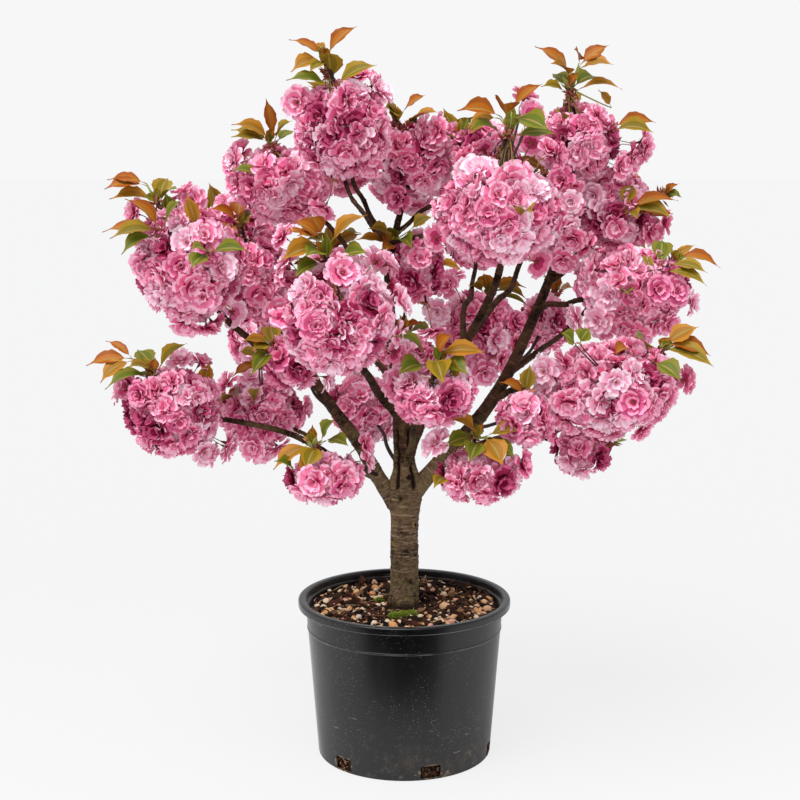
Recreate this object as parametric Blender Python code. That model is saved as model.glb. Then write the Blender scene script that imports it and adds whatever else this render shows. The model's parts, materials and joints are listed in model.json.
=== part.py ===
"""A double-flowered ornamental cherry tree in a plastic nursery pot.

Metres, +Z up. The origin is the middle of the pot's flat underside, +X is the tree's right
and +Y its back. The trunk stands in the potting mix, boughs branch from it by a rule, and each
bough or spur carries one ball of blossom with a rosette of young leaves on its crest.
"""

import math
import random
from collections import namedtuple

import bmesh
import bpy
from mathutils import Matrix, Vector
from mathutils.geometry import intersect_line_line, intersect_point_line

# Touching pieces keep this gap, and foliage keeps the wider one to wood that isn't its own
GAP = 0.0003
CLEAR = 0.0012

# After a cut or a union, points this near are one, and faces that meet at a smaller angle,
# in degrees, are joined
SAME_POINT = 1e-6
FLAT_ANGLE = 0.03

# The pot: a thin tapered shell with a floor, a collar and a flat lip
POT_HEIGHT = 0.270
POT_BASE_RADIUS = 0.1475
POT_COLLAR_RADIUS = 0.1655
POT_RIM_RADIUS = 0.1800
POT_WALL = 0.0025
LIP_DEPTH = 0.0125
LIP_WIDTH = 0.0125
COLLAR_DEPTH = 0.045
RIDGE = 0.0015
BASE_ROUND = 0.003
LIP_ROUND = 0.002
POT_SIDES = 36
SLOT_COUNT = 6
SLOT_FIRST_BEARING = -133.0
SLOT_WIDTH = 0.035
SLOT_BOTTOM = 0.0035
SLOT_TOP = 0.025
SLOT_CUT_DEPTH = 0.020

# The potting mix fills the pot to below the rim and is mounded up to the trunk
SOIL_EDGE_HEIGHT = 0.2480
SOIL_MIDDLE_HEIGHT = 0.2600
SOIL_FLAT_RADIUS = 0.036
SOIL_MOUND = ((0.75, 0.35), (0.45, 0.78))

# The trunk: height above the mix's top, radius, and how far it has leaned to the right
TRUNK_PROFILE = (
    (0.000, 0.0275, 0.000),
    (0.010, 0.0255, 0.000),
    (0.030, 0.0238, 0.000),
    (0.090, 0.0232, 0.000),
    (0.160, 0.0228, 0.001),
    (0.195, 0.0240, 0.001),
    (0.215, 0.0235, 0.001),
    (0.240, 0.0186, 0.000),
)
TRUNK_SIDES = 14

# Limbs: sides of a round, rings along it, and how they bend and taper
LIMB_SIDES = 6
LIMB_RINGS = 7
STEM_SIDES = 3
STEM_RINGS = 4
HANDLE = 0.36
WOBBLE = 0.0045
WOBBLE_RATE = 7.0
TAPER = 1.2
ENTRY = 0.92

# One blossom, drawn larger than life, and one young leaf
BLOSSOM_RADIUS = 0.035
BLOSSOM_SIDES = 6
BLOSSOM_DOME = 0.006
BLOSSOM_SHARE = 0.44
BLOSSOM_OPEN = 38.0
BLOSSOM_FEWEST = 6
BLOSSOM_DEEPEST = 0.75
LEAF_LENGTH = 0.074
LEAF_WIDTH = 0.029
LEAF_THICKNESS = 0.0014
LEAF_SINK = 0.003
LEAF_BELLY = 0.46
LEAF_ARCH = 0.06
LEAF_FOLD = 0.05
LEAF_LEANS = (38, 58, 78)
SPUR_RADIUS = 0.0055
CORE_SHARE = 0.78
ROOT_SHARE = 0.43
OWN_SPACE = 1.03

# A mass: its middle, half its width, depth and height, the bearing and rise of its crest,
# how far the crest's shoot stands out, and its leaves
Mass = namedtuple("Mass", "middle half crest shoot leaves")
MASSES = {
    "left_high": Mass((-0.339, -0.120, 0.844), (0.096, 0.090, 0.105), (182, 62), 0.012, 7),
    "left_low": Mass((-0.376, -0.060, 0.598), (0.090, 0.080, 0.080), (180, 54), 0.012, 7),
    "left_shoulder": Mass((-0.202, 0.040, 0.962), (0.086, 0.075, 0.070), (175, 72), 0.016, 6),
    "crown_left": Mass((-0.097, -0.100, 1.050), (0.082, 0.080, 0.085), (190, 80), 0.028, 7),
    "crown_middle": Mass((0.022, 0.020, 1.005), (0.064, 0.070, 0.068), (180, 74), 0.014, 6),
    "front_right": Mass((0.135, -0.240, 0.927), (0.099, 0.090, 0.084), (20, 80), 0.030, 7),
    "crown_inner": Mass((0.132, -0.040, 1.016), (0.058, 0.060, 0.050), (40, 75), 0.014, 4),
    "crown_right": Mass((0.286, 0.040, 1.033), (0.074, 0.075, 0.070), (185, 85), 0.052, 7),
    "right_shoulder": Mass((0.355, 0.075, 0.918), (0.072, 0.065, 0.076), (0, 18), 0.012, 6),
    "right_high": Mass((0.381, -0.010, 0.795), (0.100, 0.080, 0.070), (0, 24), 0.010, 7),
    "right_low": Mass((0.327, -0.170, 0.658), (0.117, 0.090, 0.078), (5, 34), 0.010, 7),
    "right_hanging": Mass((0.285, -0.100, 0.540), (0.050, 0.048, 0.038), (0, 20), 0.004, 2),
    "right_inner": Mass((0.186, -0.200, 0.612), (0.042, 0.045, 0.044), (90, 70), 0.006, 3),
    "front_left": Mass((-0.099, -0.260, 0.773), (0.095, 0.085, 0.098), (170, 80), 0.010, 7),
    "left_inner": Mass((-0.178, -0.120, 0.688), (0.044, 0.045, 0.043), (200, 40), 0.004, 3),
    "front_middle": Mass((0.042, -0.230, 0.652), (0.068, 0.060, 0.048), (0, 85), 0.014, 7),
    "low_left": Mass((-0.122, -0.220, 0.527), (0.066, 0.060, 0.043), (180, 80), 0.012, 6),
    "low_right": Mass((0.112, -0.220, 0.528), (0.070, 0.060, 0.042), (0, 80), 0.012, 7),
    "inner_right": Mass((0.125, 0.170, 0.705), (0.080, 0.070, 0.078), (60, 80), 0.012, 4),
    "back_right_low": Mass((0.256, 0.250, 0.711), (0.050, 0.060, 0.055), (45, 60), 0.010, 4),
    "left_behind": Mass((-0.250, 0.060, 0.806), (0.058, 0.070, 0.080), (150, 80), 0.012, 5),
    "left_low_inner": Mass((-0.241, 0.040, 0.581), (0.071, 0.065, 0.058), (120, 70), 0.008, 4),
    "low_back_left": Mass((-0.074, 0.120, 0.580), (0.056, 0.060, 0.059), (120, 70), 0.008, 4),
    "inner_middle": Mass((0.022, -0.040, 0.834), (0.038, 0.040, 0.062), (90, 80), 0.006, 4),
    "right_behind": Mass((0.235, 0.170, 0.900), (0.080, 0.075, 0.080), (60, 75), 0.010, 4),
    "back_left_low": Mass((-0.265, 0.210, 0.682), (0.050, 0.060, 0.050), (140, 60), 0.010, 4),
    "back_left_high": Mass((-0.300, 0.250, 0.862), (0.080, 0.080, 0.080), (130, 65), 0.014, 6),
    "back_crown_left": Mass((-0.120, 0.230, 1.010), (0.082, 0.080, 0.080), (110, 75), 0.016, 6),
    "back_crown_right": Mass((0.085, 0.240, 1.000), (0.080, 0.080, 0.070), (80, 75), 0.016, 6),
    "back_right_high": Mass((0.375, 0.240, 0.785), (0.074, 0.075, 0.070), (40, 60), 0.014, 5),
    "back_middle_left": Mass((-0.120, 0.290, 0.770), (0.080, 0.075, 0.075), (105, 65), 0.012, 5),
    "back_middle_right": Mass((0.140, 0.320, 0.865), (0.070, 0.070, 0.065), (80, 60), 0.012, 5),
    "back_low": Mass((0.005, 0.250, 0.645), (0.056, 0.060, 0.045), (90, 65), 0.010, 4),
}

# A limb: what it grows from and how far along that, the bearing and rise with which it leaves
# and arrives, the mass that it goes to, and its radius at its foot and its tip. A bough is a
# node of its own and ends where it enters its mass. A stem is fused to its mass.
Limb = namedtuple("Limb", "parent share leave arrive mass foot tip")
BOUGHS = {
    "leader": Limb("trunk", 0.990, (175, 88), (20, 70), "crown_middle", 0.0180, 0.0044),
    "left_main": Limb("trunk", 0.735, (180, 44), (165, 56), "left_behind", 0.0140, 0.0058),
    "right_main": Limb("trunk", 0.790, (0, 42), (5, 84), "crown_right", 0.0145, 0.0056),
    "left_high": Limb("left_main", 0.630, (182, 36), (228, 52), "left_high", 0.0068, 0.0048),
    "left_low": Limb("left_main", 0.080, (184, 30), (188, 10), "left_low", 0.0066, 0.0042),
    "left_shoulder": Limb("leader", 0.420, (176, 55), (178, 40), "left_shoulder", 0.0055, 0.0036),
    "front_left": Limb("leader", 0.170, (185, 50), (256, 38), "front_left", 0.0078, 0.0050),
    "crown_left": Limb("leader", 0.820, (200, 55), (245, 66), "crown_left", 0.0045, 0.0035),
    "crown_inner": Limb("leader", 0.860, (-10, 30), (-30, 40), "crown_inner", 0.0040, 0.0030),
    "front_middle": Limb("trunk", 0.960, (-80, 45), (-82, 20), "front_middle", 0.0062, 0.0038),
    "centre_right": Limb("trunk", 0.975, (20, 74), (-100, 42), "front_right", 0.0100, 0.0054),
    "right_behind": Limb("centre_right", 0.560, (30, 42), (52, 52), "right_behind", 0.0056, 0.0042),
    "right_low": Limb("right_main", 0.100, (-10, 24), (-20, -18), "right_hanging", 0.0060, 0.0036),
    "right_spray": Limb("right_main", 0.345, (-10, 30), (-30, 0), "right_low", 0.0060, 0.0044),
    "right_high": Limb("right_main", 0.620, (-6, 44), (-4, 12), "right_high", 0.0055, 0.0042),
    "right_shoulder": Limb("right_main", 0.690, (30, 60), (30, 48), "right_shoulder", 0.0048, 0.0038),
    "inner_right": Limb("leader", 0.100, (50, 50), (58, 42), "inner_right", 0.0060, 0.0040),
    "back_middle_left": Limb("leader", 0.200, (110, 45), (112, 45), "back_middle_left", 0.0065, 0.0040),
    "back_left_high": Limb("left_main", 0.550, (150, 50), (125, 50), "back_left_high", 0.0055, 0.0040),
    "back_crown_left": Limb("leader", 0.790, (130, 45), (112, 45), "back_crown_left", 0.0046, 0.0036),
    "back_crown_right": Limb("leader", 0.620, (70, 45), (75, 60), "back_crown_right", 0.0050, 0.0038),
    "back_middle_right": Limb("centre_right", 0.500, (90, 75), (80, 45), "back_middle_right", 0.0050, 0.0038),
    "back_right_high": Limb("right_main", 0.430, (30, 28), (40, 35), "back_right_high", 0.0055, 0.0038),
    "left_spray": Limb("left_low", 0.420, (150, 30), (165, 25), "left_low_inner", 0.0042, 0.0032),
}
STEMS = {
    "left_inner": Limb("left_main", 0.500, (230, 20), (250, 20), "left_inner", 0.0032, 0.0024),
    "low_left": Limb("left_main", 0.060, (250, 40), (255, -5), "low_left", 0.0036, 0.0026),
    "low_right": Limb("right_low", 0.300, (-80, 30), (-85, -5), "low_right", 0.0032, 0.0026),
    "right_inner": Limb("right_main", 0.240, (-70, 25), (-75, 15), "right_inner", 0.0036, 0.0026),
    "low_back_left": Limb("trunk", 0.930, (130, 30), (125, 30), "low_back_left", 0.0040, 0.0028),
    "back_low": Limb("trunk", 0.900, (90, 40), (90, 30), "back_low", 0.0045, 0.0030),
    "inner_middle": Limb("leader", 0.480, (-40, 40), (-50, 60), "inner_middle", 0.0030, 0.0024),
    "back_left_low": Limb("left_main", 0.480, (120, 20), (125, 15), "back_left_low", 0.0036, 0.0026),
    "back_right_low": Limb("right_main", 0.360, (70, 20), (70, 25), "back_right_low", 0.0036, 0.0028),
}


def clear_scene():
    for item in list(bpy.data.objects):
        bpy.data.objects.remove(item, do_unlink=True)


def material(name, colour, roughness, metallic=0.0):
    made = bpy.data.materials.new(name)
    made.use_nodes = True
    shader = made.node_tree.nodes["Principled BSDF"]
    shader.inputs["Base Color"].default_value = (*colour, 1.0)
    shader.inputs["Roughness"].default_value = roughness
    shader.inputs["Metallic"].default_value = metallic
    return made


def plastic_material(name):
    return material(name, (0.026, 0.027, 0.029), 0.48)


def soil_material(name):
    return material(name, (0.085, 0.050, 0.032), 0.95)


def bark_material(name):
    return material(name, (0.105, 0.075, 0.058), 0.85)


def blossom_material(name):
    return material(name, (0.800, 0.260, 0.430), 0.65)


def finish_mesh(bm, name):
    """Turns a bmesh into an object with its faces pointing out."""
    bmesh.ops.recalc_face_normals(bm, faces=bm.faces)
    mesh = bpy.data.meshes.new(name)
    bm.to_mesh(mesh)
    bm.free()
    made = bpy.data.objects.new(name, mesh)
    bpy.context.collection.objects.link(made)
    return made


def shade_round(made, angle):
    made.data.shade_smooth()
    made.data.set_sharp_from_angle(angle=math.radians(angle))


def heading(bearing, rise):
    """The direction of a compass bearing from +X towards +Y, raised by a number of degrees."""
    flat = math.cos(math.radians(rise))
    turn = math.radians(bearing)
    return Vector((flat * math.cos(turn), flat * math.sin(turn), math.sin(math.radians(rise))))


def turned(profile, sides):
    """A closed solid turned round Z from (radius, height) points that start and end on the axis."""
    bm = bmesh.new()
    verts = [bm.verts.new((radius, 0.0, height)) for radius, height in profile]
    edges = [bm.edges.new(pair) for pair in zip(verts, verts[1:])]
    bmesh.ops.spin(bm, geom=verts + edges, cent=(0, 0, 0), axis=(0, 0, 1), angle=math.tau,
                   steps=sides, use_merge=True)
    bmesh.ops.remove_doubles(bm, verts=bm.verts, dist=SAME_POINT)
    return bm


def ring_frames(points, first, last):
    """A matrix at each point, its Z along the limb, carried on with no sudden twist."""
    frames = []
    side = first.orthogonal().normalized()
    for i, point in enumerate(points):
        if i == 0:
            along = first
        elif i == len(points) - 1:
            along = last
        else:
            along = (points[i + 1] - points[i - 1]).normalized()
        side = (side - along * side.dot(along)).normalized()
        frame = Matrix((side, along.cross(side), along)).transposed().to_4x4()
        frame.translation = point
        frames.append(frame)
    return frames


def tube(points, radii, first, last, sides, grow=0.0):
    """A tapering limb as rings bridged one to the next and capped, or a copy grown all round."""
    points = [point.copy() for point in points]
    points[0] -= first * grow
    points[-1] += last * grow
    bm = bmesh.new()
    before = []
    frames = ring_frames(points, first, last)
    for i, (frame, radius) in enumerate(zip(frames, radii)):
        capped = i in (0, len(points) - 1)
        made = bmesh.ops.create_circle(bm, cap_ends=capped, segments=sides, radius=radius + grow,
                                       matrix=frame)
        ring = list({edge for vert in made["verts"] for edge in vert.link_edges})
        if before:
            bmesh.ops.bridge_loops(bm, edges=before + ring)
        before = ring
    return bm


def boolean(made, operation, others):
    """Cuts or joins one object with others, by the first way that leaves it closed."""
    group = bpy.data.collections.new("others")
    bpy.context.scene.collection.children.link(group)
    for other in others:
        bpy.context.collection.objects.unlink(other)
        group.objects.link(other)
    modifier = made.modifiers.new("boolean", "BOOLEAN")
    modifier.operation = operation
    modifier.operand_type = "COLLECTION"
    modifier.collection = group
    ways = (("EXACT", True), ("EXACT", False), ("MANIFOLD", True), ("MANIFOLD", False))
    for modifier.solver, tidy in ways:
        shape, closed = outer_shell(made.evaluated_get(bpy.context.evaluated_depsgraph_get()), tidy)
        if closed:
            break
    made.modifiers.remove(modifier)
    made.data = shape
    for other in others:
        bpy.data.objects.remove(other, do_unlink=True)
    bpy.data.collections.remove(group)


def outer_shell(evaluated, tidy):
    """The tallest shell of a result, without sealed hollows and scraps, and whether it is closed."""
    shape = bpy.data.meshes.new_from_object(evaluated)
    bm = bmesh.new()
    bm.from_mesh(shape)
    if tidy:
        bmesh.ops.remove_doubles(bm, verts=bm.verts, dist=SAME_POINT)
        bmesh.ops.dissolve_degenerate(bm, edges=bm.edges, dist=SAME_POINT)
        bmesh.ops.dissolve_limit(bm, angle_limit=math.radians(FLAT_ANGLE),
                                 verts=bm.verts, edges=bm.edges)
    bmesh.ops.triangulate(bm, faces=bm.faces)
    shells = []
    left = set(bm.faces)
    while left:
        found = [left.pop()]
        for face in found:
            for edge in face.edges:
                beside = [other for other in edge.link_faces if other in left]
                left.difference_update(beside)
                found += beside
        shells.append(found)
    shells.sort(key=shell_height)
    for shell in shells[:-1]:
        bmesh.ops.delete(bm, geom=shell, context="FACES")
    closed = bool(bm.faces) and all(edge.is_contiguous for edge in bm.edges)
    bm.to_mesh(shape)
    bm.free()
    return shape, closed


def shell_height(faces):
    heights = [vert.co.z for face in faces for vert in face.verts]
    return max(heights) - min(heights)


def make_pot():
    """The outside goes up the body, the collar and the lip, and the inside comes back down."""
    ridge_height = POT_HEIGHT - COLLAR_DEPTH
    lip_height = POT_HEIGHT - LIP_DEPTH
    inner_lip = POT_RIM_RADIUS - LIP_WIDTH
    outside = [
        (0.0, 0.0),
        (POT_BASE_RADIUS - BASE_ROUND, 0.0),
        (POT_BASE_RADIUS, BASE_ROUND),
        (POT_COLLAR_RADIUS - RIDGE, ridge_height - RIDGE),
        (POT_COLLAR_RADIUS, ridge_height),
        (POT_COLLAR_RADIUS + RIDGE, lip_height),
        (POT_RIM_RADIUS - RIDGE, lip_height),
        (POT_RIM_RADIUS, POT_HEIGHT - LIP_ROUND),
        (POT_RIM_RADIUS - LIP_ROUND, POT_HEIGHT),
    ]
    inside = [
        (inner_lip + LIP_ROUND / 2, POT_HEIGHT),
        (inner_lip, POT_HEIGHT - LIP_ROUND / 2),
        (POT_COLLAR_RADIUS - POT_WALL, lip_height),
        (POT_COLLAR_RADIUS - RIDGE - POT_WALL, ridge_height - RIDGE),
        (POT_BASE_RADIUS - POT_WALL, POT_WALL),
        (0.0, POT_WALL),
    ]
    pot = finish_mesh(turned(outside + inside, POT_SIDES), "pot")
    cutters = [make_slot(SLOT_FIRST_BEARING + i * 360.0 / SLOT_COUNT) for i in range(SLOT_COUNT)]
    boolean(pot, "DIFFERENCE", cutters)
    shade_round(pot, 30)
    pot.data.materials.append(plastic_material("pot_plastic"))
    return pot


def make_slot(bearing):
    """A box that cuts one drain slot through the wall, above the floor."""
    bm = bmesh.new()
    size = Matrix.Diagonal((SLOT_CUT_DEPTH, SLOT_WIDTH, SLOT_TOP - SLOT_BOTTOM, 1.0))
    place = Matrix.Translation((POT_BASE_RADIUS, 0.0, (SLOT_TOP + SLOT_BOTTOM) / 2))
    turn = Matrix.Rotation(math.radians(bearing), 4, "Z")
    bmesh.ops.create_cube(bm, size=1.0, matrix=turn @ place @ size)
    return finish_mesh(bm, "slot")


def pot_inner_radius(height):
    """The radius of the wall's inner face at a height below the ridge."""
    ridge_height = POT_HEIGHT - COLLAR_DEPTH - RIDGE
    share = (height - POT_WALL) / (ridge_height - POT_WALL)
    lowest = POT_BASE_RADIUS - POT_WALL
    return lowest + share * (POT_COLLAR_RADIUS - RIDGE - POT_WALL - lowest)


def make_soil():
    """The mix fills the pot with a hair's gap to the wall, and rises to a flat at the trunk."""
    floor = POT_WALL + GAP
    ridge_height = POT_HEIGHT - COLLAR_DEPTH - RIDGE
    wall_gap = GAP / math.cos(math.pi / POT_SIDES)
    edge = pot_inner_radius(ridge_height) - wall_gap
    profile = [
        (0.0, floor),
        (pot_inner_radius(floor) - wall_gap, floor),
        (edge, ridge_height),
        (edge, SOIL_EDGE_HEIGHT),
    ]
    for out, up in SOIL_MOUND:
        profile.append((edge * out, SOIL_EDGE_HEIGHT + up * (SOIL_MIDDLE_HEIGHT - SOIL_EDGE_HEIGHT)))
    profile += [(SOIL_FLAT_RADIUS, SOIL_MIDDLE_HEIGHT), (0.0, SOIL_MIDDLE_HEIGHT)]
    soil = finish_mesh(turned(profile, POT_SIDES), "soil")
    shade_round(soil, 40)
    soil.data.materials.append(soil_material("potting_mix"))
    return soil


def trunk_route():
    ground = SOIL_MIDDLE_HEIGHT + GAP
    points = [Vector((lean, 0.0, ground + height)) for height, radius, lean in TRUNK_PROFILE]
    radii = [radius for height, radius, lean in TRUNK_PROFILE]
    return points, radii, Vector((0, 0, 1)), Vector((0, 0, 1))


def along_route(route, share):
    """The point at a share of a route's length, from its foot to its tip."""
    points = route[0]
    lengths = [(b - a).length for a, b in zip(points, points[1:])]
    left = share * sum(lengths)
    for start, end, length in zip(points, points[1:], lengths):
        if left <= length:
            return start.lerp(end, left / length)
        left -= length
    return points[-1].copy()


def reach_of(half, direction):
    """How far an ellipsoid with these half sizes reaches in a direction."""
    return 1.0 / math.sqrt(sum((part / size) ** 2 for part, size in zip(direction, half)))


def limb_route(name, limb, routes, rings, inside):
    """A curve from the parent's middle to the edge of the mass, or to its middle for a stem."""
    mass = MASSES[limb.mass]
    foot = along_route(routes[limb.parent], limb.share)
    first = heading(*limb.leave)
    last = heading(*limb.arrive)
    middle = Vector(mass.middle)
    tip = middle - last * ENTRY * reach_of(mass.half, last)
    pull = HANDLE * (tip - foot).length
    controls = (foot, foot + first * pull, tip - last * pull, tip)
    draw = random.Random("wood " + name)
    phases = [draw.uniform(0, math.tau) for axis in range(3)]
    points = []
    radii = []
    for i in range(rings):
        share = i / (rings - 1)
        away = 1 - share
        weights = (away ** 3, 3 * away * away * share, 3 * away * share * share, share ** 3)
        point = sum((control * weight for control, weight in zip(controls, weights)), Vector())
        sway = WOBBLE * (4 * share * away) ** 2
        point += Vector([sway * math.sin(WOBBLE_RATE * share + phase) for phase in phases])
        points.append(point)
        radii.append(limb.tip + (limb.foot - limb.tip) * away ** TAPER)
    if inside:
        points.append(middle)
        radii.append(limb.tip)
    return points, radii, first, last


def all_routes():
    routes = {"trunk": trunk_route()}
    for name, limb in BOUGHS.items():
        routes[name] = limb_route(name, limb, routes, LIMB_RINGS, False)
    for name, limb in STEMS.items():
        routes["stem_" + name] = limb_route(name, limb, routes, STEM_RINGS, True)
    return routes


def boxes_near(a, b):
    """Whether the boxes of two routes, with their thickness, come together."""
    for axis in range(3):
        low = [min(p[axis] - r for p, r in zip(route[0], route[1])) for route in (a, b)]
        high = [max(p[axis] + r for p, r in zip(route[0], route[1])) for route in (a, b)]
        if low[0] > high[1] + CLEAR or low[1] > high[0] + CLEAR:
            return False
    return True


def cut_clear(made, route, others):
    """Cuts a limb clear of the wood that it meets, by copies of that wood grown by the gap."""
    cutters = []
    for other in others:
        if boxes_near(route, other):
            sides = TRUNK_SIDES if len(other[0]) == len(TRUNK_PROFILE) else LIMB_SIDES
            cutters.append(finish_mesh(tube(*other, sides, GAP), "wood"))
    if cutters:
        boolean(made, "DIFFERENCE", cutters)


def make_trunk(routes):
    trunk = finish_mesh(tube(*routes["trunk"], TRUNK_SIDES), "trunk")
    shade_round(trunk, 50)
    trunk.data.materials.append(bark_material("trunk_bark"))
    return trunk


def make_bough(name, routes):
    made = finish_mesh(tube(*routes[name], LIMB_SIDES), "bough_" + name)
    earlier = list(routes)[:list(routes).index(name)]
    cut_clear(made, routes[name], [routes[other] for other in earlier])
    shade_round(made, 50)
    made.data.materials.append(bark_material("bark_" + name))
    return made


def ellipsoid_share(mass, point):
    """0 at a mass's middle and 1 at its edge."""
    return math.sqrt(sum(((p - m) / h) ** 2 for p, m, h in zip(point, mass.middle, mass.half)))


def in_own_space(name, points):
    mass = MASSES[name]
    for point in points:
        own = ellipsoid_share(mass, point) * OWN_SPACE
        if any(own > ellipsoid_share(other, point) for key, other in MASSES.items() if key != name):
            return False
    return True


def wood_near(start, end, radius, routes):
    """Whether a run from start to end, with a radius, comes too near any of these limbs."""
    for points, radii, first, last in routes:
        for a, b, thickness in zip(points, points[1:], radii):
            if segment_gap(start, end, a, b) < radius + thickness + CLEAR:
                return True
    return False


def segment_gap(a, b, c, d):
    """The shortest distance between two straight runs."""
    best = min(point_gap(a, c, d), point_gap(b, c, d), point_gap(c, a, b), point_gap(d, a, b))
    crossing = intersect_line_line(a, b, c, d)
    if crossing:
        one, other = crossing
        if 0 <= run_share(one, a, b) <= 1 and 0 <= run_share(other, c, d) <= 1:
            best = min(best, (one - other).length)
    return best


def run_share(point, a, b):
    length = (b - a).length_squared
    return (point - a).dot(b - a) / length if length else 0.0


def point_gap(point, a, b):
    if (b - a).length < 1e-9:
        return (point - a).length
    near, share = intersect_point_line(point, a, b)
    return (point - a.lerp(b, min(1.0, max(0.0, share)))).length


def around(direction, turn):
    """A unit vector square to a direction, at a turn round it."""
    side = direction.orthogonal().normalized()
    return Matrix.Rotation(turn, 3, direction) @ side


def blossom_points(place, facing, depth):
    """The rim, the domed front and the root of one blossom."""
    rim = [place + around(facing, math.tau * i / BLOSSOM_SIDES) * BLOSSOM_RADIUS
           for i in range(BLOSSOM_SIDES)]
    return rim, place + facing * BLOSSOM_DOME, place - facing * depth


def make_blossom(rim, dome, root):
    """A low dome on a pointed root."""
    bm = bmesh.new()
    ring = [bm.verts.new(point) for point in rim]
    front = bm.verts.new(dome)
    back = bm.verts.new(root)
    for a, b in zip(ring, ring[1:] + ring[:1]):
        bm.faces.new((a, b, front))
        bm.faces.new((b, a, back))
    return finish_mesh(bm, "blossom")


def leaf_points(root, direction, size):
    """Root, tip, both edges and the two faces of one arched leaf."""
    side = direction.cross(Vector((0, 0, 1))).normalized()
    up = side.cross(direction)
    length = LEAF_LENGTH * size
    belly = root + direction * (LEAF_BELLY * length) + up * (LEAF_ARCH * length)
    tip = root + direction * length - up * (LEAF_ARCH * length)
    edge = side * (LEAF_WIDTH * size / 2)
    lift = up * (LEAF_FOLD * length)
    half = up * (LEAF_THICKNESS / 2)
    return root, tip, belly + edge + lift, belly - edge + lift, belly + half, belly - half


def make_leaf(points):
    """Eight faces: four above and four below."""
    bm = bmesh.new()
    root, tip, left, right, upper, lower = [bm.verts.new(point) for point in points]
    ring = (root, left, tip, right)
    for a, b in zip(ring, ring[1:] + ring[:1]):
        bm.faces.new((a, b, upper))
        bm.faces.new((b, a, lower))
    return finish_mesh(bm, "leaf")


def surface_of(half):
    """The surface of an ellipsoid, to about a hundredth, by the usual short formula."""
    power = 1.6075
    sides = ((half[0] * half[1]) ** power, (half[0] * half[2]) ** power, (half[1] * half[2]) ** power)
    return 4 * math.pi * (sum(sides) / 3) ** (1 / power)


def spread_directions(count, spin):
    """Directions spread evenly round a ball, by the golden angle."""
    for i in range(count):
        level = 1 - (2 * i + 1) / count
        turn = spin + i * math.pi * (3 - math.sqrt(5))
        flat = math.sqrt(1 - level * level)
        yield Vector((flat * math.cos(turn), flat * math.sin(turn), level))


def blossoms_of(name, mass, woods):
    """Blossoms spread evenly over the mass, all but its crest, each facing out."""
    spin = random.Random("blossom " + name).uniform(0, math.tau)
    share = BLOSSOM_SHARE * surface_of(mass.half) / (math.pi * BLOSSOM_RADIUS ** 2)
    crest = heading(*mass.crest)
    middle = Vector(mass.middle)
    made = []
    for out in spread_directions(max(BLOSSOM_FEWEST, round(share)), spin):
        if out.angle(crest) < math.radians(BLOSSOM_OPEN):
            continue
        edge = Vector([part * half for part, half in zip(out, mass.half)])
        facing = Vector([part / half for part, half in zip(out, mass.half)]).normalized()
        inset = BLOSSOM_RADIUS ** 2 / (2 * edge.length)
        place = middle + edge * max(BLOSSOM_DEEPEST, 1 - inset / edge.length)
        rim, dome, root = blossom_points(place, facing, edge.length * (1 - ROOT_SHARE))
        if not in_own_space(name, rim) or wood_near(place, root, BLOSSOM_RADIUS, woods):
            continue
        made.append(make_blossom(rim, dome, root))
    return made


def leaves_of(name, mass, spur_tip, woods):
    """A rosette of leaves on the spur, spread round it and fanned up and out."""
    draw = random.Random("leaf " + name)
    crest = heading(*mass.crest)
    made = []
    for i in range(mass.leaves):
        turn = math.tau * (i + draw.uniform(-0.25, 0.25)) / mass.leaves
        lean = math.radians(draw.choice(LEAF_LEANS))
        direction = (crest * math.cos(lean) + around(crest, turn) * math.sin(lean)).normalized()
        size = draw.uniform(0.82, 1.08)
        root = spur_tip - crest * draw.uniform(0.004, 0.016) - direction * LEAF_SINK
        points = leaf_points(root, direction, size)
        if not in_own_space(name, points[1:]):
            continue
        if wood_near(points[0], points[1], LEAF_WIDTH / 2, woods):
            continue
        made.append(make_leaf(points))
    return made


def make_core(name, mass):
    bm = bmesh.new()
    size = Matrix.Diagonal([half * CORE_SHARE for half in mass.half]).to_4x4()
    bmesh.ops.create_icosphere(bm, subdivisions=1, radius=1.0,
                               matrix=Matrix.Translation(mass.middle) @ size)
    return finish_mesh(bm, "blossom_" + name)


def make_stem(name, mass, routes):
    """The stem from a bough's tip or side into the core, and the wood that isn't its own."""
    own = "stem_" + name
    if own in routes:
        stem = finish_mesh(tube(*routes[own], STEM_SIDES), "stem")
        cut_clear(stem, routes[own], [routes["trunk"]] + [routes[key] for key in BOUGHS])
        return stem, [route for key, route in routes.items() if key != own]
    carrier = next(key for key, limb in BOUGHS.items() if limb.mass == name)
    points, radii, first, last = routes[carrier]
    run = [points[-1] + last * GAP, Vector(mass.middle)]
    stem = finish_mesh(tube(run, [radii[-1], radii[-1]], last, last, STEM_SIDES), "stem")
    return stem, list(routes.values())


def make_spur(mass):
    """The short shoot that stands out of the crest, and its tip."""
    crest = heading(*mass.crest)
    middle = Vector(mass.middle)
    out = reach_of(mass.half, crest)
    tip = middle + crest * (out + mass.shoot)
    foot = middle + crest * (out * ROOT_SHARE)
    spur = tube([foot, tip], [SPUR_RADIUS, SPUR_RADIUS * 0.8], crest, crest, STEM_SIDES)
    return finish_mesh(spur, "spur"), tip


def make_mass(name, routes):
    """One ball of blossom: a core, its stem and spur, and the blossoms and leaves fused on."""
    mass = MASSES[name]
    made = make_core(name, mass)
    stem, woods = make_stem(name, mass, routes)
    spur, spur_tip = make_spur(mass)
    parts = [stem, spur] + blossoms_of(name, mass, woods) + leaves_of(name, mass, spur_tip, woods)
    boolean(made, "UNION", parts)
    shade_round(made, 35)
    made.data.materials.append(blossom_material("petals_" + name))
    return made


def main():
    clear_scene()
    routes = all_routes()
    make_pot()
    make_soil()
    make_trunk(routes)
    for name in BOUGHS:
        make_bough(name, routes)
    for name in MASSES:
        make_mass(name, routes)


main()
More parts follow.
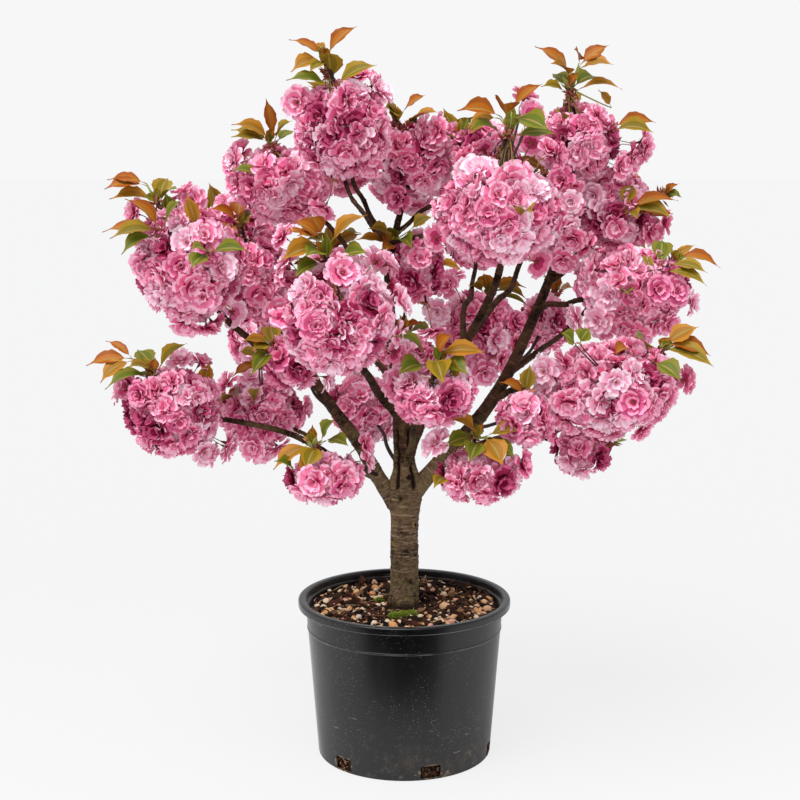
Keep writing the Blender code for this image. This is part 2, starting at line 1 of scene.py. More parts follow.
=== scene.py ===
import json
import math
import random
from collections import namedtuple

import bmesh
import bpy
import numpy as np
from mathutils import Matrix, Vector, noise

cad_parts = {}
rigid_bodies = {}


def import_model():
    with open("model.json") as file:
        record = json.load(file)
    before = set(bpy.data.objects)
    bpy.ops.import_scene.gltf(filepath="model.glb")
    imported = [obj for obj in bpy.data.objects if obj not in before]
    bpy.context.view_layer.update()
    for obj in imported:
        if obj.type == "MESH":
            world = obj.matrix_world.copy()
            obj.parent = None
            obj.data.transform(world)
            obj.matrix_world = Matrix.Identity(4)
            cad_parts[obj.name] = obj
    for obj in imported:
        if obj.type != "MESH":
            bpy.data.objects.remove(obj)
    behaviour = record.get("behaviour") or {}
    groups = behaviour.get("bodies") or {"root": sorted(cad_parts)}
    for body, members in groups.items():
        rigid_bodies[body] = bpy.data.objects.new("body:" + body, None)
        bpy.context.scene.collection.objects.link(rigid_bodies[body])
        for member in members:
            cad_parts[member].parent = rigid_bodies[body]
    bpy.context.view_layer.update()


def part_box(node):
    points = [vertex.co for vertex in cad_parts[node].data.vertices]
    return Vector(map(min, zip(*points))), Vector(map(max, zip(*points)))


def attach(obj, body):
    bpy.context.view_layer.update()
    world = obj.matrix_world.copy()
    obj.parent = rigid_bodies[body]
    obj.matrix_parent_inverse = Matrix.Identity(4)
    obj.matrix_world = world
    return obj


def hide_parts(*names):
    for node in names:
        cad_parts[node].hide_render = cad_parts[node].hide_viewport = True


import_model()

# Pot
# The nursery pot is one thin-walled moulding of recycled black polyethylene, with a rolled lip,
# a collar that the next pot in the stack rests on, and six drain slots cut out at its foot.
POT_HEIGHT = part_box("pot")[1].z
POT_RIM_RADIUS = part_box("pot")[1].x
POT_BASE_RADIUS = 0.1475
POT_COLLAR_RADIUS = 0.1655
POT_WALL = 0.0025
LIP_DEPTH = 0.0125
LIP_WIDTH = 0.0125
LIP_ROUND = 0.0035
LIP_FOOT_ROUND = 0.0012
COLLAR_HEIGHT = POT_HEIGHT - 0.050
RIDGE = 0.0015
BASE_ROUND = 0.003
POT_STEPS = 180
SLOT_COUNT = 6
SLOT_FIRST_BEARING = -133.0
SLOT_WIDTH = 0.035
SLOT_BOTTOM = 0.0035
SLOT_TOP = 0.025
SLOT_DEEP = 0.020
SLOT_ROUND = 0.003
SLOT_HALF_ANGLE = 6.0
SLOT_STAIN_HEIGHT = 0.014
SLOT_STAIN_SQUASH = 1.6
PLASTIC_BLACK = (0.0010, 0.0011, 0.0012, 1)
PLASTIC_DUSTY = (0.0120, 0.0122, 0.0120, 1)
PALE_DUST_AND_HIGHLIGHT = (0.36, 0.34, 0.31, 1)
POT_MUD = (0.100, 0.066, 0.040, 1)
POT_CRUST = (0.270, 0.190, 0.110, 1)
POT_SHEEN = 0.44
POT_SHEEN_ROUGHNESS = 0.22


class Shade:
    """A value in a material. Sums and products of it add the Math nodes."""

    def __init__(self, tree, socket):
        self.tree = tree
        self.socket = socket

    def node(self, kind, settings, inputs, output=0):
        made = self.tree.nodes.new(kind)
        for name, value in settings.items():
            if name == "stops":
                while len(made.color_ramp.elements) < len(value):
                    made.color_ramp.elements.new(1.0)
                for stop, (place, colour) in zip(made.color_ramp.elements, value):
                    stop.position = place
                    stop.color = colour
            else:
                setattr(made, name, value)
        for name, value in inputs.items():
            if isinstance(value, Shade):
                self.tree.links.new(value.socket, made.inputs[name])
            else:
                made.inputs[name].default_value = value
        return Shade(self.tree, made.outputs[output])

    def math(self, operation, *values):
        return self.node("ShaderNodeMath", {"operation": operation}, dict(enumerate(values)))

    def __add__(self, other):
        return self.math("ADD", self, other)

    def __sub__(self, other):
        return self.math("SUBTRACT", self, other)

    def __rsub__(self, other):
        return self.math("SUBTRACT", other, self)

    def __mul__(self, other):
        return self.math("MULTIPLY", self, other)

    __radd__ = __add__
    __rmul__ = __mul__

    def axis(self, name):
        return self.node("ShaderNodeSeparateXYZ", {}, {0: self}, name)

    def scaled(self, x, y, z):
        return self.node("ShaderNodeVectorMath", {"operation": "MULTIPLY"}, {0: self, 1: (x, y, z)})

    def away(self, x, y, z):
        return self.node("ShaderNodeVectorMath", {"operation": "DISTANCE"}, {0: self, 1: (x, y, z)},
                         "Value")

    def noise(self, scale, detail=3.0, rough=0.55):
        inputs = {"Vector": self, "Scale": scale, "Detail": detail, "Roughness": rough}
        return self.node("ShaderNodeTexNoise", {}, inputs, "Fac")

    def cells(self, scale, output="Distance"):
        return self.node("ShaderNodeTexVoronoi", {}, {"Vector": self, "Scale": scale}, output)

    def step(self, low, high):
        """0 below low and 1 above high, or the other way round, with a smooth rise between."""
        settings = {"interpolation_type": "SMOOTHSTEP"}
        inputs = {"Value": self, "From Min": low, "From Max": high}
        return self.node("ShaderNodeMapRange", settings, inputs)

    def mix(self, low, high):
        """The colour low where this value is 0 and high where it is 1."""
        settings = {"data_type": "RGBA", "clamp_factor": True}
        return self.node("ShaderNodeMix", settings, {0: self, 6: low, 7: high}, 2)

    def bump(self, distance, strength=1.0):
        inputs = {"Height": self, "Distance": distance, "Strength": strength}
        return self.node("ShaderNodeBump", {}, inputs)


def new_material(name):
    """A material, and the place on the piece from which its pattern is worked out."""
    made = bpy.data.materials.new(name)
    made.use_nodes = True
    place = made.node_tree.nodes.new("ShaderNodeTexCoord").outputs["Object"]
    return made, Shade(made.node_tree, place)


def set_shader(made, values):
    """The same material with these inputs of its shader set or linked."""
    shader = made.node_tree.nodes["Principled BSDF"]
    for name, value in values.items():
        if isinstance(value, Shade):
            made.node_tree.links.new(value.socket, shader.inputs[name])
        else:
            shader.inputs[name].default_value = value
    return made


def turned(profile, steps):
    """A closed solid turned round Z from (radius, height) points that start and end on the axis."""
    bm = bmesh.new()
    rings = []
    for radius, height in profile:
        turns = [math.tau * i / steps for i in range(steps if radius else 1)]
        ring = [bm.verts.new((radius * math.cos(turn), radius * math.sin(turn), height)) for turn in turns]
        rings.append(ring if radius else ring * steps)
    for low, high in zip(rings, rings[1:]):
        for i in range(steps):
            bm.faces.new(list(dict.fromkeys((low[i - 1], low[i], high[i], high[i - 1]))))
    return bm


def arc(radius, height, size, start, end, steps=5):
    """Points of a round edge of a profile, from one angle to another in degrees."""
    for i in range(steps + 1):
        angle = math.radians(start + (end - start) * i / steps)
        yield radius + size * math.cos(angle), height + size * math.sin(angle)


def as_object(bm, name, materials):
    """A mesh under construction made into an object of the scene."""
    mesh = bpy.data.meshes.new(name)
    bm.to_mesh(mesh)
    bm.free()
    for material in materials:
        mesh.materials.append(material)
    made = bpy.data.objects.new(name, mesh)
    bpy.context.scene.collection.objects.link(made)
    return made


def finished(made, slot, *nodes):
    """A piece rides with the plant and stands for these nodes. The slot is not used."""
    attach(made, "root")
    if nodes:
        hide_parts(*nodes)
    return made


def slot_bearings():
    """The bearings of the drain slots, evenly round the pot."""
    return [SLOT_FIRST_BEARING + i * 360.0 / SLOT_COUNT for i in range(SLOT_COUNT)]


def edges_of(verts):
    """The edges that meet these vertices, each once and always in the same order."""
    return list(dict.fromkeys(edge for vert in verts for edge in vert.link_edges))


def slot_cutter():
    """Six blocks with rounded corners, one at each drain slot."""
    bm = bmesh.new()
    size = Matrix.Diagonal((SLOT_DEEP, SLOT_WIDTH, SLOT_TOP - SLOT_BOTTOM, 1.0))
    place = Matrix.Translation((POT_BASE_RADIUS, 0.0, (SLOT_TOP + SLOT_BOTTOM) / 2))
    for bearing in slot_bearings():
        turn = Matrix.Rotation(math.radians(bearing), 4, "Z")
        made = bmesh.ops.create_cube(bm, size=1.0, matrix=turn @ place @ size)
        outward = turn @ Vector((1, 0, 0))
        edges = edges_of(made["verts"])
        across = [edge for edge in edges
                  if abs((edge.verts[0].co - edge.verts[1].co).normalized().dot(outward)) > 0.9]
        bmesh.ops.bevel(bm, geom=across, offset=SLOT_ROUND, affect="EDGES", segments=3,
                        profile=0.5, material=-1)
    return as_object(bm, "slot_cutter", [])


def cut(made, cutter):
    """The piece less the cutter, which is then removed."""
    modifier = made.modifiers.new("cut", "BOOLEAN")
    modifier.object = cutter
    shape = bpy.data.meshes.new_from_object(made.evaluated_get(bpy.context.evaluated_depsgraph_get()))
    made.modifiers.remove(modifier)
    made.data = shape
    bpy.data.objects.remove(cutter, do_unlink=True)


def pot_profile():
    """Up the outside, over the lip, and down the inside to the floor."""
    lip = POT_HEIGHT - LIP_DEPTH
    inner = POT_RIM_RADIUS - LIP_WIDTH
    ridge = COLLAR_HEIGHT - RIDGE
    rim = POT_RIM_RADIUS - LIP_FOOT_ROUND
    return [
        (0.0, 0.0),
        *arc(POT_BASE_RADIUS - BASE_ROUND, BASE_ROUND, BASE_ROUND, -90, -5),
        (POT_COLLAR_RADIUS - RIDGE, ridge),
        *arc(POT_COLLAR_RADIUS - RIDGE, COLLAR_HEIGHT, RIDGE, -60, 0, 3),
        *arc(POT_COLLAR_RADIUS - RIDGE, COLLAR_HEIGHT + RIDGE, RIDGE, 0, 60, 3),
        (POT_COLLAR_RADIUS - RIDGE / 2, COLLAR_HEIGHT + 3 * RIDGE),
        (POT_COLLAR_RADIUS + RIDGE, lip),
        *arc(rim, lip + LIP_FOOT_ROUND, LIP_FOOT_ROUND, -90, 0, 3),
        *arc(POT_RIM_RADIUS - LIP_ROUND, POT_HEIGHT - LIP_ROUND, LIP_ROUND, 0, 90),
        *arc(inner + LIP_ROUND, POT_HEIGHT - LIP_ROUND, LIP_ROUND, 90, 180),
        (inner - RIDGE / 2, lip),
        (POT_COLLAR_RADIUS - POT_WALL, lip - RIDGE),
        (POT_COLLAR_RADIUS - RIDGE - POT_WALL, ridge),
        (POT_BASE_RADIUS - POT_WALL, POT_WALL),
        (0.0, POT_WALL),
    ]


def pot_plastic():
    """Black plastic under dust, with pale specks, scuffs and splashed mud near the foot. The pale line on
    the collar ridge is wear and painted highlight; the one along the foot of the lip is painted highlight.
    """
    made, at = new_material("pot_plastic")
    height = at.axis("Z")
    cloudy = at.noise(9.0, 4.0)
    streaks = at.scaled(1, 1, 0.10).noise(55.0, 3.0)
    low = height.step(0.16, 0.01)
    dusty = cloudy.step(0.35, 0.72) * 0.14 + streaks.step(0.45, 0.75) * 0.20 + low * 0.66
    plain = dusty.mix(PLASTIC_BLACK, PLASTIC_DUSTY)
    scuffed = (low * at.noise(60.0, 6.0, 0.75).step(0.52, 0.74) * 0.13).mix(plain, PALE_DUST_AND_HIGHLIGHT)
    fine = at.cells(260.0).step(0.17, 0.08) * at.noise(13.0, 3.0).step(0.42, 0.56)
    coarse = at.cells(95.0).step(0.10, 0.05) * at.noise(7.0, 2.0).step(0.52, 0.60)
    specked = (fine * 0.55 + coarse * 0.45).mix(scuffed, PALE_DUST_AND_HIGHLIGHT)
    lines = at.scaled(1, 1, 9).noise(26.0, 2.0).step(0.66, 0.69) * at.noise(11.0, 2.0).step(0.54, 0.60)
    scratched = (lines * 0.30).mix(specked, PALE_DUST_AND_HIGHLIGHT)
    # A pale line on the collar ridge, wear and painted highlight, and a painted highlight along the foot
    # of the lip
    edge = height.step(COLLAR_HEIGHT - 0.4 * RIDGE, COLLAR_HEIGHT)
    edge = edge * height.step(COLLAR_HEIGHT + RIDGE, COLLAR_HEIGHT + 0.5 * RIDGE) * 0.22
    lip = POT_HEIGHT - LIP_DEPTH
    edge = edge + height.step(lip - 0.0004, lip) * height.step(lip + 0.0014, lip + 0.0009) * 0.35
    worn_and_highlit = (edge * at.noise(30.0, 2.0).step(0.30, 0.60)).mix(scratched, PALE_DUST_AND_HIGHLIGHT)
    mud = height.step(0.075, 0.008) * at.scaled(1, 1, 0.6).noise(21.0, 6.0, 0.7).step(0.50, 0.66)
    muddy = (mud * 0.40).mix(worn_and_highlit, POT_MUD)
    patch = height.step(0.055, 0.020) * at.noise(48.0, 6.0, 0.75).step(0.60, 0.66)
    muddy = (patch * 0.55).mix(muddy, POT_CRUST)
    near = Shade(at.tree, at.tree.nodes.new("ShaderNodeValue").outputs[0])
    near.socket.default_value = 1.0
    for bearing in slot_bearings():
        turn = math.radians(bearing)
        middle = (POT_BASE_RADIUS * math.cos(turn), POT_BASE_RADIUS * math.sin(turn),
                  SLOT_STAIN_HEIGHT * SLOT_STAIN_SQUASH)
        near = near.math("MINIMUM", near, at.scaled(1, 1, SLOT_STAIN_SQUASH).away(*middle))
    crust = near.step(0.0235, 0.0190) * at.noise(120.0, 4.0, 0.7).step(0.44, 0.56)
    crusted = (crust * 0.75).mix(muddy, POT_CRUST)
    grain = at.noise(420.0, 2.0) * 0.3 + at.noise(40.0, 3.0) * 0.7
    return set_shader(made, {
        "Base Color": crusted,
        "Roughness": 0.34 + dusty * 0.16 + mud * 0.20,
        "Specular IOR Level": 0.5,
        "Sheen Weight": POT_SHEEN,
        "Sheen Roughness": POT_SHEEN_ROUGHNESS,
        "Normal": grain.bump(0.0006, 0.35),
    })


pot = as_object(turned(pot_profile(), POT_STEPS), "nursery_pot", [pot_plastic()])
cut(pot, slot_cutter())
pot.data.shade_smooth()
pot.data.set_sharp_from_angle(angle=math.radians(32))
finished(pot, "pot_plastic", "pot")

# Potting mix
# The pot is filled with composted bark, all but level, to just below its lip. Bark chips, pebbles
# and white perlite lie loose on top, with fine roots and straw, and moss has started at the trunk.
GAP = 0.0003
SOIL_MIDDLE_HEIGHT = 0.2600
SOIL_EDGE_RADIUS = 0.1610
SOIL_FOOT_RADIUS = POT_BASE_RADIUS - POT_WALL - GAP
SOIL_SLOPE = ((0.030, 0.2500), (0.060, 0.2520), (0.100, 0.2525), (SOIL_EDGE_RADIUS, 0.2505))
SOIL_STEPS = 150
SOIL_RING = 0.0025
SOIL_ROUGH = 0.0060
SOIL_TOP_ABOVE = 0.230
SOIL_SIDE_ROWS = 9
SOIL_SIDE_ROW = 0.004
SOIL_SIDE_TOP = 0.220
WALL_SLOPE = 0.085
SLOT_CRUMBLE = 0.0048
TRUNK_CLEAR = 0.027
EDGE_CLEAR = 0.004
PEAT_DARK = (0.007, 0.004, 0.003, 1)
PEAT_BROWN = (0.060, 0.030, 0.017, 1)
CHIP_COLOURS = (
    ("chip_black", (0.016, 0.010, 0.008, 1)),
    ("chip_dark", (0.040, 0.022, 0.014, 1)),
    ("chip_red", (0.066, 0.022, 0.013, 1)),
    ("chip_brown", (0.084, 0.040, 0.022, 1)),
    ("chip_tan", (0.270, 0.145, 0.074, 1)),
)
CHIP_SHARES = (0.34, 0.32, 0.14, 0.14, 0.06)
CHIP_COUNT = 1250
CHIP_LENGTHS = (0.004, 0.021)
SLOT_CHIPS = 26
SLOT_CHIP_LENGTHS = (0.003, 0.007)
STONE_COLOURS = (
    ("stone_tan", (0.740, 0.460, 0.240, 1)),
    ("stone_cream", (0.880, 0.720, 0.500, 1)),
    ("stone_pink", (0.720, 0.390, 0.270, 1)),
    ("stone_grey", (0.640, 0.580, 0.510, 1)),
    ("stone_orange", (0.720, 0.360, 0.150, 1)),
)
STONE_SHARES = (0.38, 0.22, 0.12, 0.06, 0.22)
STONE_COUNT = 640
STONE_SIZES = (0.0020, 0.0060)
# The larger stones: where they lie, half their length, and their colour
LARGE_STONES = (
    (-0.133, 0.018, 0.0072, 1), (-0.102, 0.018, 0.0106, 2), (-0.151, 0.039, 0.0058, 2),
    (-0.149, 0.002, 0.0062, 1), (-0.108, 0.077, 0.0089, 0), (-0.083, 0.065, 0.0095, 0),
    (-0.050, 0.095, 0.0087, 4), (-0.056, 0.071, 0.0067, 4), (-0.032, 0.147, 0.0078, 2),
    (-0.071, 0.091, 0.0054, 0), (-0.093, 0.104, 0.0032, 1), (-0.087, 0.113, 0.0032, 1),
    (-0.083, 0.012, 0.0036, 1), (-0.109, -0.024, 0.0045, 3), (-0.125, -0.035, 0.0035, 1),
    (-0.090, -0.027, 0.0031, 3), (-0.099, -0.043, 0.0031, 1), (-0.042, -0.031, 0.0021, 1),
    (-0.059, -0.056, 0.0042, 3), (-0.084, -0.082, 0.0065, 0), (-0.103, -0.082, 0.0046, 0),
    (-0.050, -0.107, 0.0062, 1), (-0.038, -0.113, 0.0041, 0), (-0.028, -0.095, 0.0048, 1),
    (0.026, -0.064, 0.0072, 1), (0.040, -0.085, 0.0049, 1), (0.052, -0.085, 0.0044, 1),
    (0.061, -0.096, 0.0039, 3), (0.078, -0.101, 0.0097, 2), (0.067, -0.016, 0.0100, 0),
    (0.105, -0.011, 0.0060, 4), (0.125, -0.007, 0.0069, 0), (0.141, -0.026, 0.0088, 0),
    (0.119, -0.070, 0.0070, 1), (0.145, 0.036, 0.0085, 4), (0.125, -0.040, 0.0056, 0),
    (-0.018, -0.120, 0.0091, 4), (0.009, -0.098, 0.0041, 2), (0.051, 0.084, 0.0057, 2),
    (0.137, 0.012, 0.0067, 0), (0.108, -0.045, 0.0042, 2), (0.094, -0.015, 0.0036, 3),
    (-0.005, -0.120, 0.0041, 1), (-0.112, -0.054, 0.0040, 0), (-0.138, -0.027, 0.0035, 0),
    (-0.063, -0.101, 0.0034, 0),
)
PERLITE_COUNT = 45
PERLITE_SIZES = (0.0011, 0.0023)
ROOT_COUNT = 190
ROOT_LENGTHS = (0.012, 0.040)
ROOT_SHARES = (0.35, 0.65)
SLOT_ROOTS = 15
ROOT_COLOURS = (
    ("root_pale", (0.420, 0.290, 0.170, 1)),
    ("root_brown", (0.130, 0.055, 0.028, 1)),
)
# Straws that lie on the mix: colour, thickness, and the two ends
STRAWS = (
    (0, 0.0016, (0.041, 0.141, 0.2560), (0.068, 0.139, 0.2566)),
    (1, 0.0016, (-0.065, -0.070, 0.2575), (-0.027, -0.071, 0.2568)),
    (0, 0.0011, (0.034, 0.138, 0.2540), (0.039, 0.137, 0.2680)),
    (1, 0.0011, (0.082, 0.060, 0.2560), (0.118, 0.038, 0.2580)),
)
# Moss: where each clump's middle is, and half its width and depth
MOSS_CLUMPS = ((-0.016, -0.067, 0.0105, 0.0085), (-0.002, -0.062, 0.0115, 0.0095),
               (0.012, -0.058, 0.0105, 0.0085), (-0.0435, 0.027, 0.0085, 0.0060))
MOSS_FRONDS = 3000
MOSS_SHARES = (0.45, 0.35, 0.20)
MOSS_SHADE = 2
MOSS_COLOURS = (
    ("moss_bright", (0.175, 0.275, 0.022, 1)),
    ("moss_yellow", (0.390, 0.440, 0.060, 1)),
    ("moss_dark_and_shade", (0.030, 0.066, 0.006, 1)),
)


class Growth:
    """Many small shapes of one kind, gathered as arrays until they become one mesh."""

    def __init__(self):
        self.verts = []
        self.faces = []
        self.slots = []
        self.count = 0

    def add(self, verts, faces, slots):
        self.verts.append(np.asarray(verts, float).reshape(-1, 3))
        self.faces.append(np.asarray(faces) + self.count)
        self.slots.append(np.broadcast_to(slots, len(faces)))
        self.count += len(self.verts[-1])

    def tubes(self, paths, radii, sides, slots):
        """Tapering tubes, all of one colour or with a colour for each."""
        verts, faces, each = strands(paths, radii, sides)
        self.add(verts, faces, np.repeat(slots, each) if np.ndim(slots) else slots)

    def put(self, shape, facing, spin, place, size, slot):
        """One copy of a shape, with its Z turned to a facing after a spin round it."""
        self.place(shape, turns_to(np.array([facing]), np.array([spin])), [place], [size], [slot])

    def place(self, shape, turns, moves, sizes, shifts):
        """Copies of one shape (verts, faces, slots), each turned, sized, moved and recoloured."""
        verts, faces, slots = shape
        if len(moves) == 0:
            return
        placed = np.einsum("nij,nvj->nvi", turns, verts * np.asarray(sizes)[:, None, None])
        placed += np.asarray(moves)[:, None]
        starts = np.arange(len(moves))[:, None, None] * len(verts)
        every = (faces + starts).reshape(-1, 3)
        self.add(placed, every, (slots + np.asarray(shifts)[:, None]).reshape(-1))

    def piece(self, name, materials, slot, *nodes, round_shaded=True):
        verts = np.concatenate(self.verts)
        faces = np.concatenate(self.faces)
        mesh = bpy.data.meshes.new(name)
        mesh.vertices.add(len(verts))
        mesh.vertices.foreach_set("co", verts.astype(np.float32).ravel())
        mesh.loops.add(faces.size)
        mesh.loops.foreach_set("vertex_index", faces.astype(np.int32).ravel())
        mesh.polygons.add(len(faces))
        mesh.polygons.foreach_set("loop_start", np.arange(0, faces.size, 3, dtype=np.int32))
        mesh.polygons.foreach_set("material_index", np.concatenate(self.slots).astype(np.int32))
        mesh.polygons.foreach_set("use_smooth", np.full(len(faces), round_shaded))
        for material in materials:
            mesh.materials.append(material)
        mesh.update()
        mesh.validate()
        made = bpy.data.objects.new(name, mesh)
        bpy.context.scene.collection.objects.link(made)
        return finished(made, slot, *nodes)


def unit(vectors):
    """The same directions with a length of one."""
    return vectors / np.linalg.norm(vectors, axis=-1, keepdims=True)


def turns_to(facing, spins):
    """Turns, one a row, that carry Z to each facing after a spin round it."""
    side = unit(np.cross(facing, np.where(np.abs(facing[:, 2:]) < 0.9, (0, 0, 1.0), (0, 1.0, 0))))
    over = np.cross(facing, side)
    c = np.cos(spins)[:, None]
    s = np.sin(spins)[:, None]
    return np.stack((side * c + over * s, over * c - side * s, facing), axis=-1)


def strands(paths, radii, sides):
    """Tapering tubes along many paths of as many points each, closed at both ends."""
    paths = np.asarray(paths, float)
    count, rings = paths.shape[:2]
    along = unit(np.gradient(paths, axis=1))
    side = unit(np.cross(along, (0.31, 0.47, 0.83)))
    over = np.cross(along, side)
    turn = math.tau * np.arange(sides) / sides
    ring = side[:, :, None] * np.cos(turn)[:, None] + over[:, :, None] * np.sin(turn)[:, None]
    verts = paths[:, :, None] + ring * np.broadcast_to(radii, (count, rings))[..., None, None]
    faces = []
    for i in range(rings - 1):
        for k in range(sides):
            a = i * sides + k
            b = i * sides + (k + 1) % sides
            faces += [(a, b, b + sides), (a, b + sides, a + sides)]
    last = (rings - 1) * sides
    for k in range(1, sides - 1):
        faces += [(0, k + 1, k), (last, last + k, last + k + 1)]
    starts = np.arange(count)[:, None, None] * rings * sides
    return verts.reshape(-1, 3), (np.array(faces) + starts).reshape(-1, 3), len(faces)


def plain_materials(colours, roughness, shine=0.5, extra=None):
    """One plain colour each, for the small things that are dealt out by colour."""
    made = []
    for name, colour in colours:
        material = new_material(name)[0]
        values = {"Base Color": colour, "Roughness": roughness, "Specular IOR Level": shine}
        made.append(set_shader(material, {**values, **(extra or {})}))
    return made


def lump(subdivisions, squash, seed, rough):
    """A pebble or crumb: a ball pressed out of round."""
    bm = bmesh.new()
    bmesh.ops.create_icosphere(bm, subdivisions=subdivisions, radius=1.0)
    verts = np.array([vert.co * (1 + rough * noise.noise(vert.co * 1.3 + Vector((seed, 0, 0))))
                      for vert in bm.verts]) * squash
    faces = np.array([[vert.index for vert in face.verts] for face in bm.faces])
    bm.free()
    return verts, faces, np.zeros(len(faces), int)


def chip(draw):
    """A splinter of bark: a flat block with every corner out of true."""
    bm = bmesh.new()
    bmesh.ops.create_cube(bm, size=1.0)
    bmesh.ops.triangulate(bm, faces=bm.faces)
    verts = np.array([vert.co for vert in bm.verts]) * (1.0, draw.uniform(0.35, 0.75), 0.22)
    verts += [[draw.uniform(-0.16, 0.16) for axis in range(3)] for vert in bm.verts]
    faces = np.array([[vert.index for vert in face.verts] for face in bm.faces])
    bm.free()
    return verts, faces, np.zeros(len(faces), int)


def soil_height(x, y):
    """How high the mix lies at a place, with its lumps."""
    out = math.hypot(x, y)
    level = float(np.interp(out, *zip(*SOIL_SLOPE)))
    place = Vector((x, y, 0.0))
    return level + SOIL_ROUGH * (noise.noise(place * 45) * 0.8 + noise.noise(place * 160) * 0.5)


def soil_places(draw, count):
    """Random places on the mix, clear of the trunk's foot."""
    places = []
    while len(places) < count:
        x, y = (draw.uniform(-SOIL_EDGE_RADIUS, SOIL_EDGE_RADIUS) for axis in range(2))
        if TRUNK_CLEAR < math.hypot(x, y) < SOIL_EDGE_RADIUS - EDGE_CLEAR:
            places.append((x, y))
    return places


def peat():
    """The fine dark part of the mix, matt and in clods."""
    made, at = new_material("peat")
    clods = at.noise(60.0, 6.0, 0.7)
    return set_shader(made, {
        "Base Color": clods.step(0.40, 0.68).mix(PEAT_DARK, PEAT_BROWN),
        "Roughness": 0.95,
        "Specular IOR Level": 0.05,
        "Normal": at.noise(240.0, 4.0, 0.7).bump(0.0015, 0.9),
    })


def make_soil():
    """One lumpy solid that fills the pot, a little crumbled where it shows in the drain slots."""
    rings = int(SOIL_EDGE_RADIUS / SOIL_RING)
    foot = POT_WALL + GAP
    top = [(SOIL_EDGE_RADIUS * i / rings, SOIL_SLOPE[0][1]) for i in range(rings, -1, -1)]
    sides = [(SOIL_FOOT_RADIUS, foot + i * SOIL_SIDE_ROW) for i in range(SOIL_SIDE_ROWS)]
    bm = turned([(0.0, foot), *sides, (SOIL_EDGE_RADIUS, SOIL_SIDE_TOP), *top], SOIL_STEPS)
    for vert in bm.verts:
        out = math.hypot(vert.co.x, vert.co.y)
        if vert.co.z > SOIL_TOP_ABOVE:
            vert.co.z = soil_height(vert.co.x, vert.co.y)
        elif out > SOIL_FOOT_RADIUS - 0.001 and vert.co.z > POT_WALL + 2 * GAP:
            wall = SOIL_FOOT_RADIUS + (vert.co.z - POT_WALL) * WALL_SLOPE
            sunk = SLOT_CRUMBLE * (0.5 + 0.7 * noise.noise(vert.co * 110))
            vert.co.x *= (wall - sunk) / out
            vert.co.y *= (wall - sunk) / out
    made = as_object(bm, "potting_mix", [peat()])
    made.data.shade_smooth()
    finished(made, "potting_mix", "soil")


def make_chips():
    """Splinters of bark, strewn over the mix and caught in the drain slots."""
    draw = random.Random("chips")
    shapes = [chip(draw) for kind in range(10)]
    growth = Growth()
    places = []
    for x, y in soil_places(draw, CHIP_COUNT):
        size = CHIP_LENGTHS[0] + (CHIP_LENGTHS[1] - CHIP_LENGTHS[0]) * draw.random() ** 2.2
        tilt = 0.55 + 0.5 * (y > 0)
        places.append((Vector((x, y, soil_height(x, y) + size * 0.08)), size, Vector((0, 0, 1)), tilt))
    for bearing in slot_bearings():
        for i in range(SLOT_CHIPS):
            turn = math.radians(bearing + draw.uniform(-SLOT_HALF_ANGLE, SLOT_HALF_ANGLE))
            height = draw.uniform(0.006, 0.022)
            out = Vector((math.cos(turn), math.sin(turn), 0))
            place = out * (SOIL_FOOT_RADIUS - draw.uniform(0.0005, 0.003)) + Vector((0, 0, height))
            places.append((place, draw.uniform(*SLOT_CHIP_LENGTHS), out, 0.5))
    for place, size, up, tilt in places:
        shape = draw.choice(shapes)
        facing = (up + Vector([draw.uniform(-tilt, tilt) for axis in range(3)])).normalized()
        spin = draw.uniform(0, math.tau)
        colour = draw.choices(range(len(CHIP_COLOURS)), CHIP_SHARES)[0]
        growth.put(shape, facing, spin, place, size, colour)
    growth.piece("bark_chips", plain_materials(CHIP_COLOURS, 0.85, 0.08), "potting_mix",
                 round_shaded=False)


def make_stones():
    """Pebbles pressed into the mix: the large ones in their places and fine grit between them."""
    draw = random.Random("stones")
    shapes = [lump(2, (1.0, draw.uniform(0.62, 0.9), draw.uniform(0.5, 0.75)), kind * 7.0, 0.35)
              for kind in range(8)]
    places = list(LARGE_STONES)
    for x, y in soil_places(draw, STONE_COUNT):
        size = STONE_SIZES[0] + (STONE_SIZES[1] - STONE_SIZES[0]) * draw.random() ** 1.6
        places.append((x, y, size, draw.choices(range(len(STONE_COLOURS)), STONE_SHARES)[0]))
    growth = Growth()
    for x, y, size, colour in places:
        facing = Vector((draw.uniform(-0.4, 0.4), draw.uniform(-0.4, 0.4), 1)).normalized()
        spin = draw.uniform(0, math.tau)
        place = (x, y, soil_height(x, y) + size * 0.38)
        growth.put(draw.choice(shapes), facing, spin, place, size, colour)
    growth.piece("pebbles", plain_materials(STONE_COLOURS, 0.7, 0.2), "pebbles")


def make_perlite():
    """White grains that lie on top."""
    draw = random.Random("perlite")
    shapes = [lump(1, (1, 0.85, 0.8), kind * 5.0, 0.8) for kind in range(4)]
    growth = Growth()
    for x, y in soil_places(draw, PERLITE_COUNT):
        size = draw.uniform(*PERLITE_SIZES)
        spin = draw.uniform(0, math.tau)
        place = (x, y, soil_height(x, y) + size * 0.8)
        growth.put(draw.choice(shapes), (0.0, 0.0, 1.0), spin, place, size, 0)
    white = plain_materials((("perlite", (0.82, 0.80, 0.76, 1)),), 0.9, 0.3)
    growth.piece("perlite", white, "pebbles")


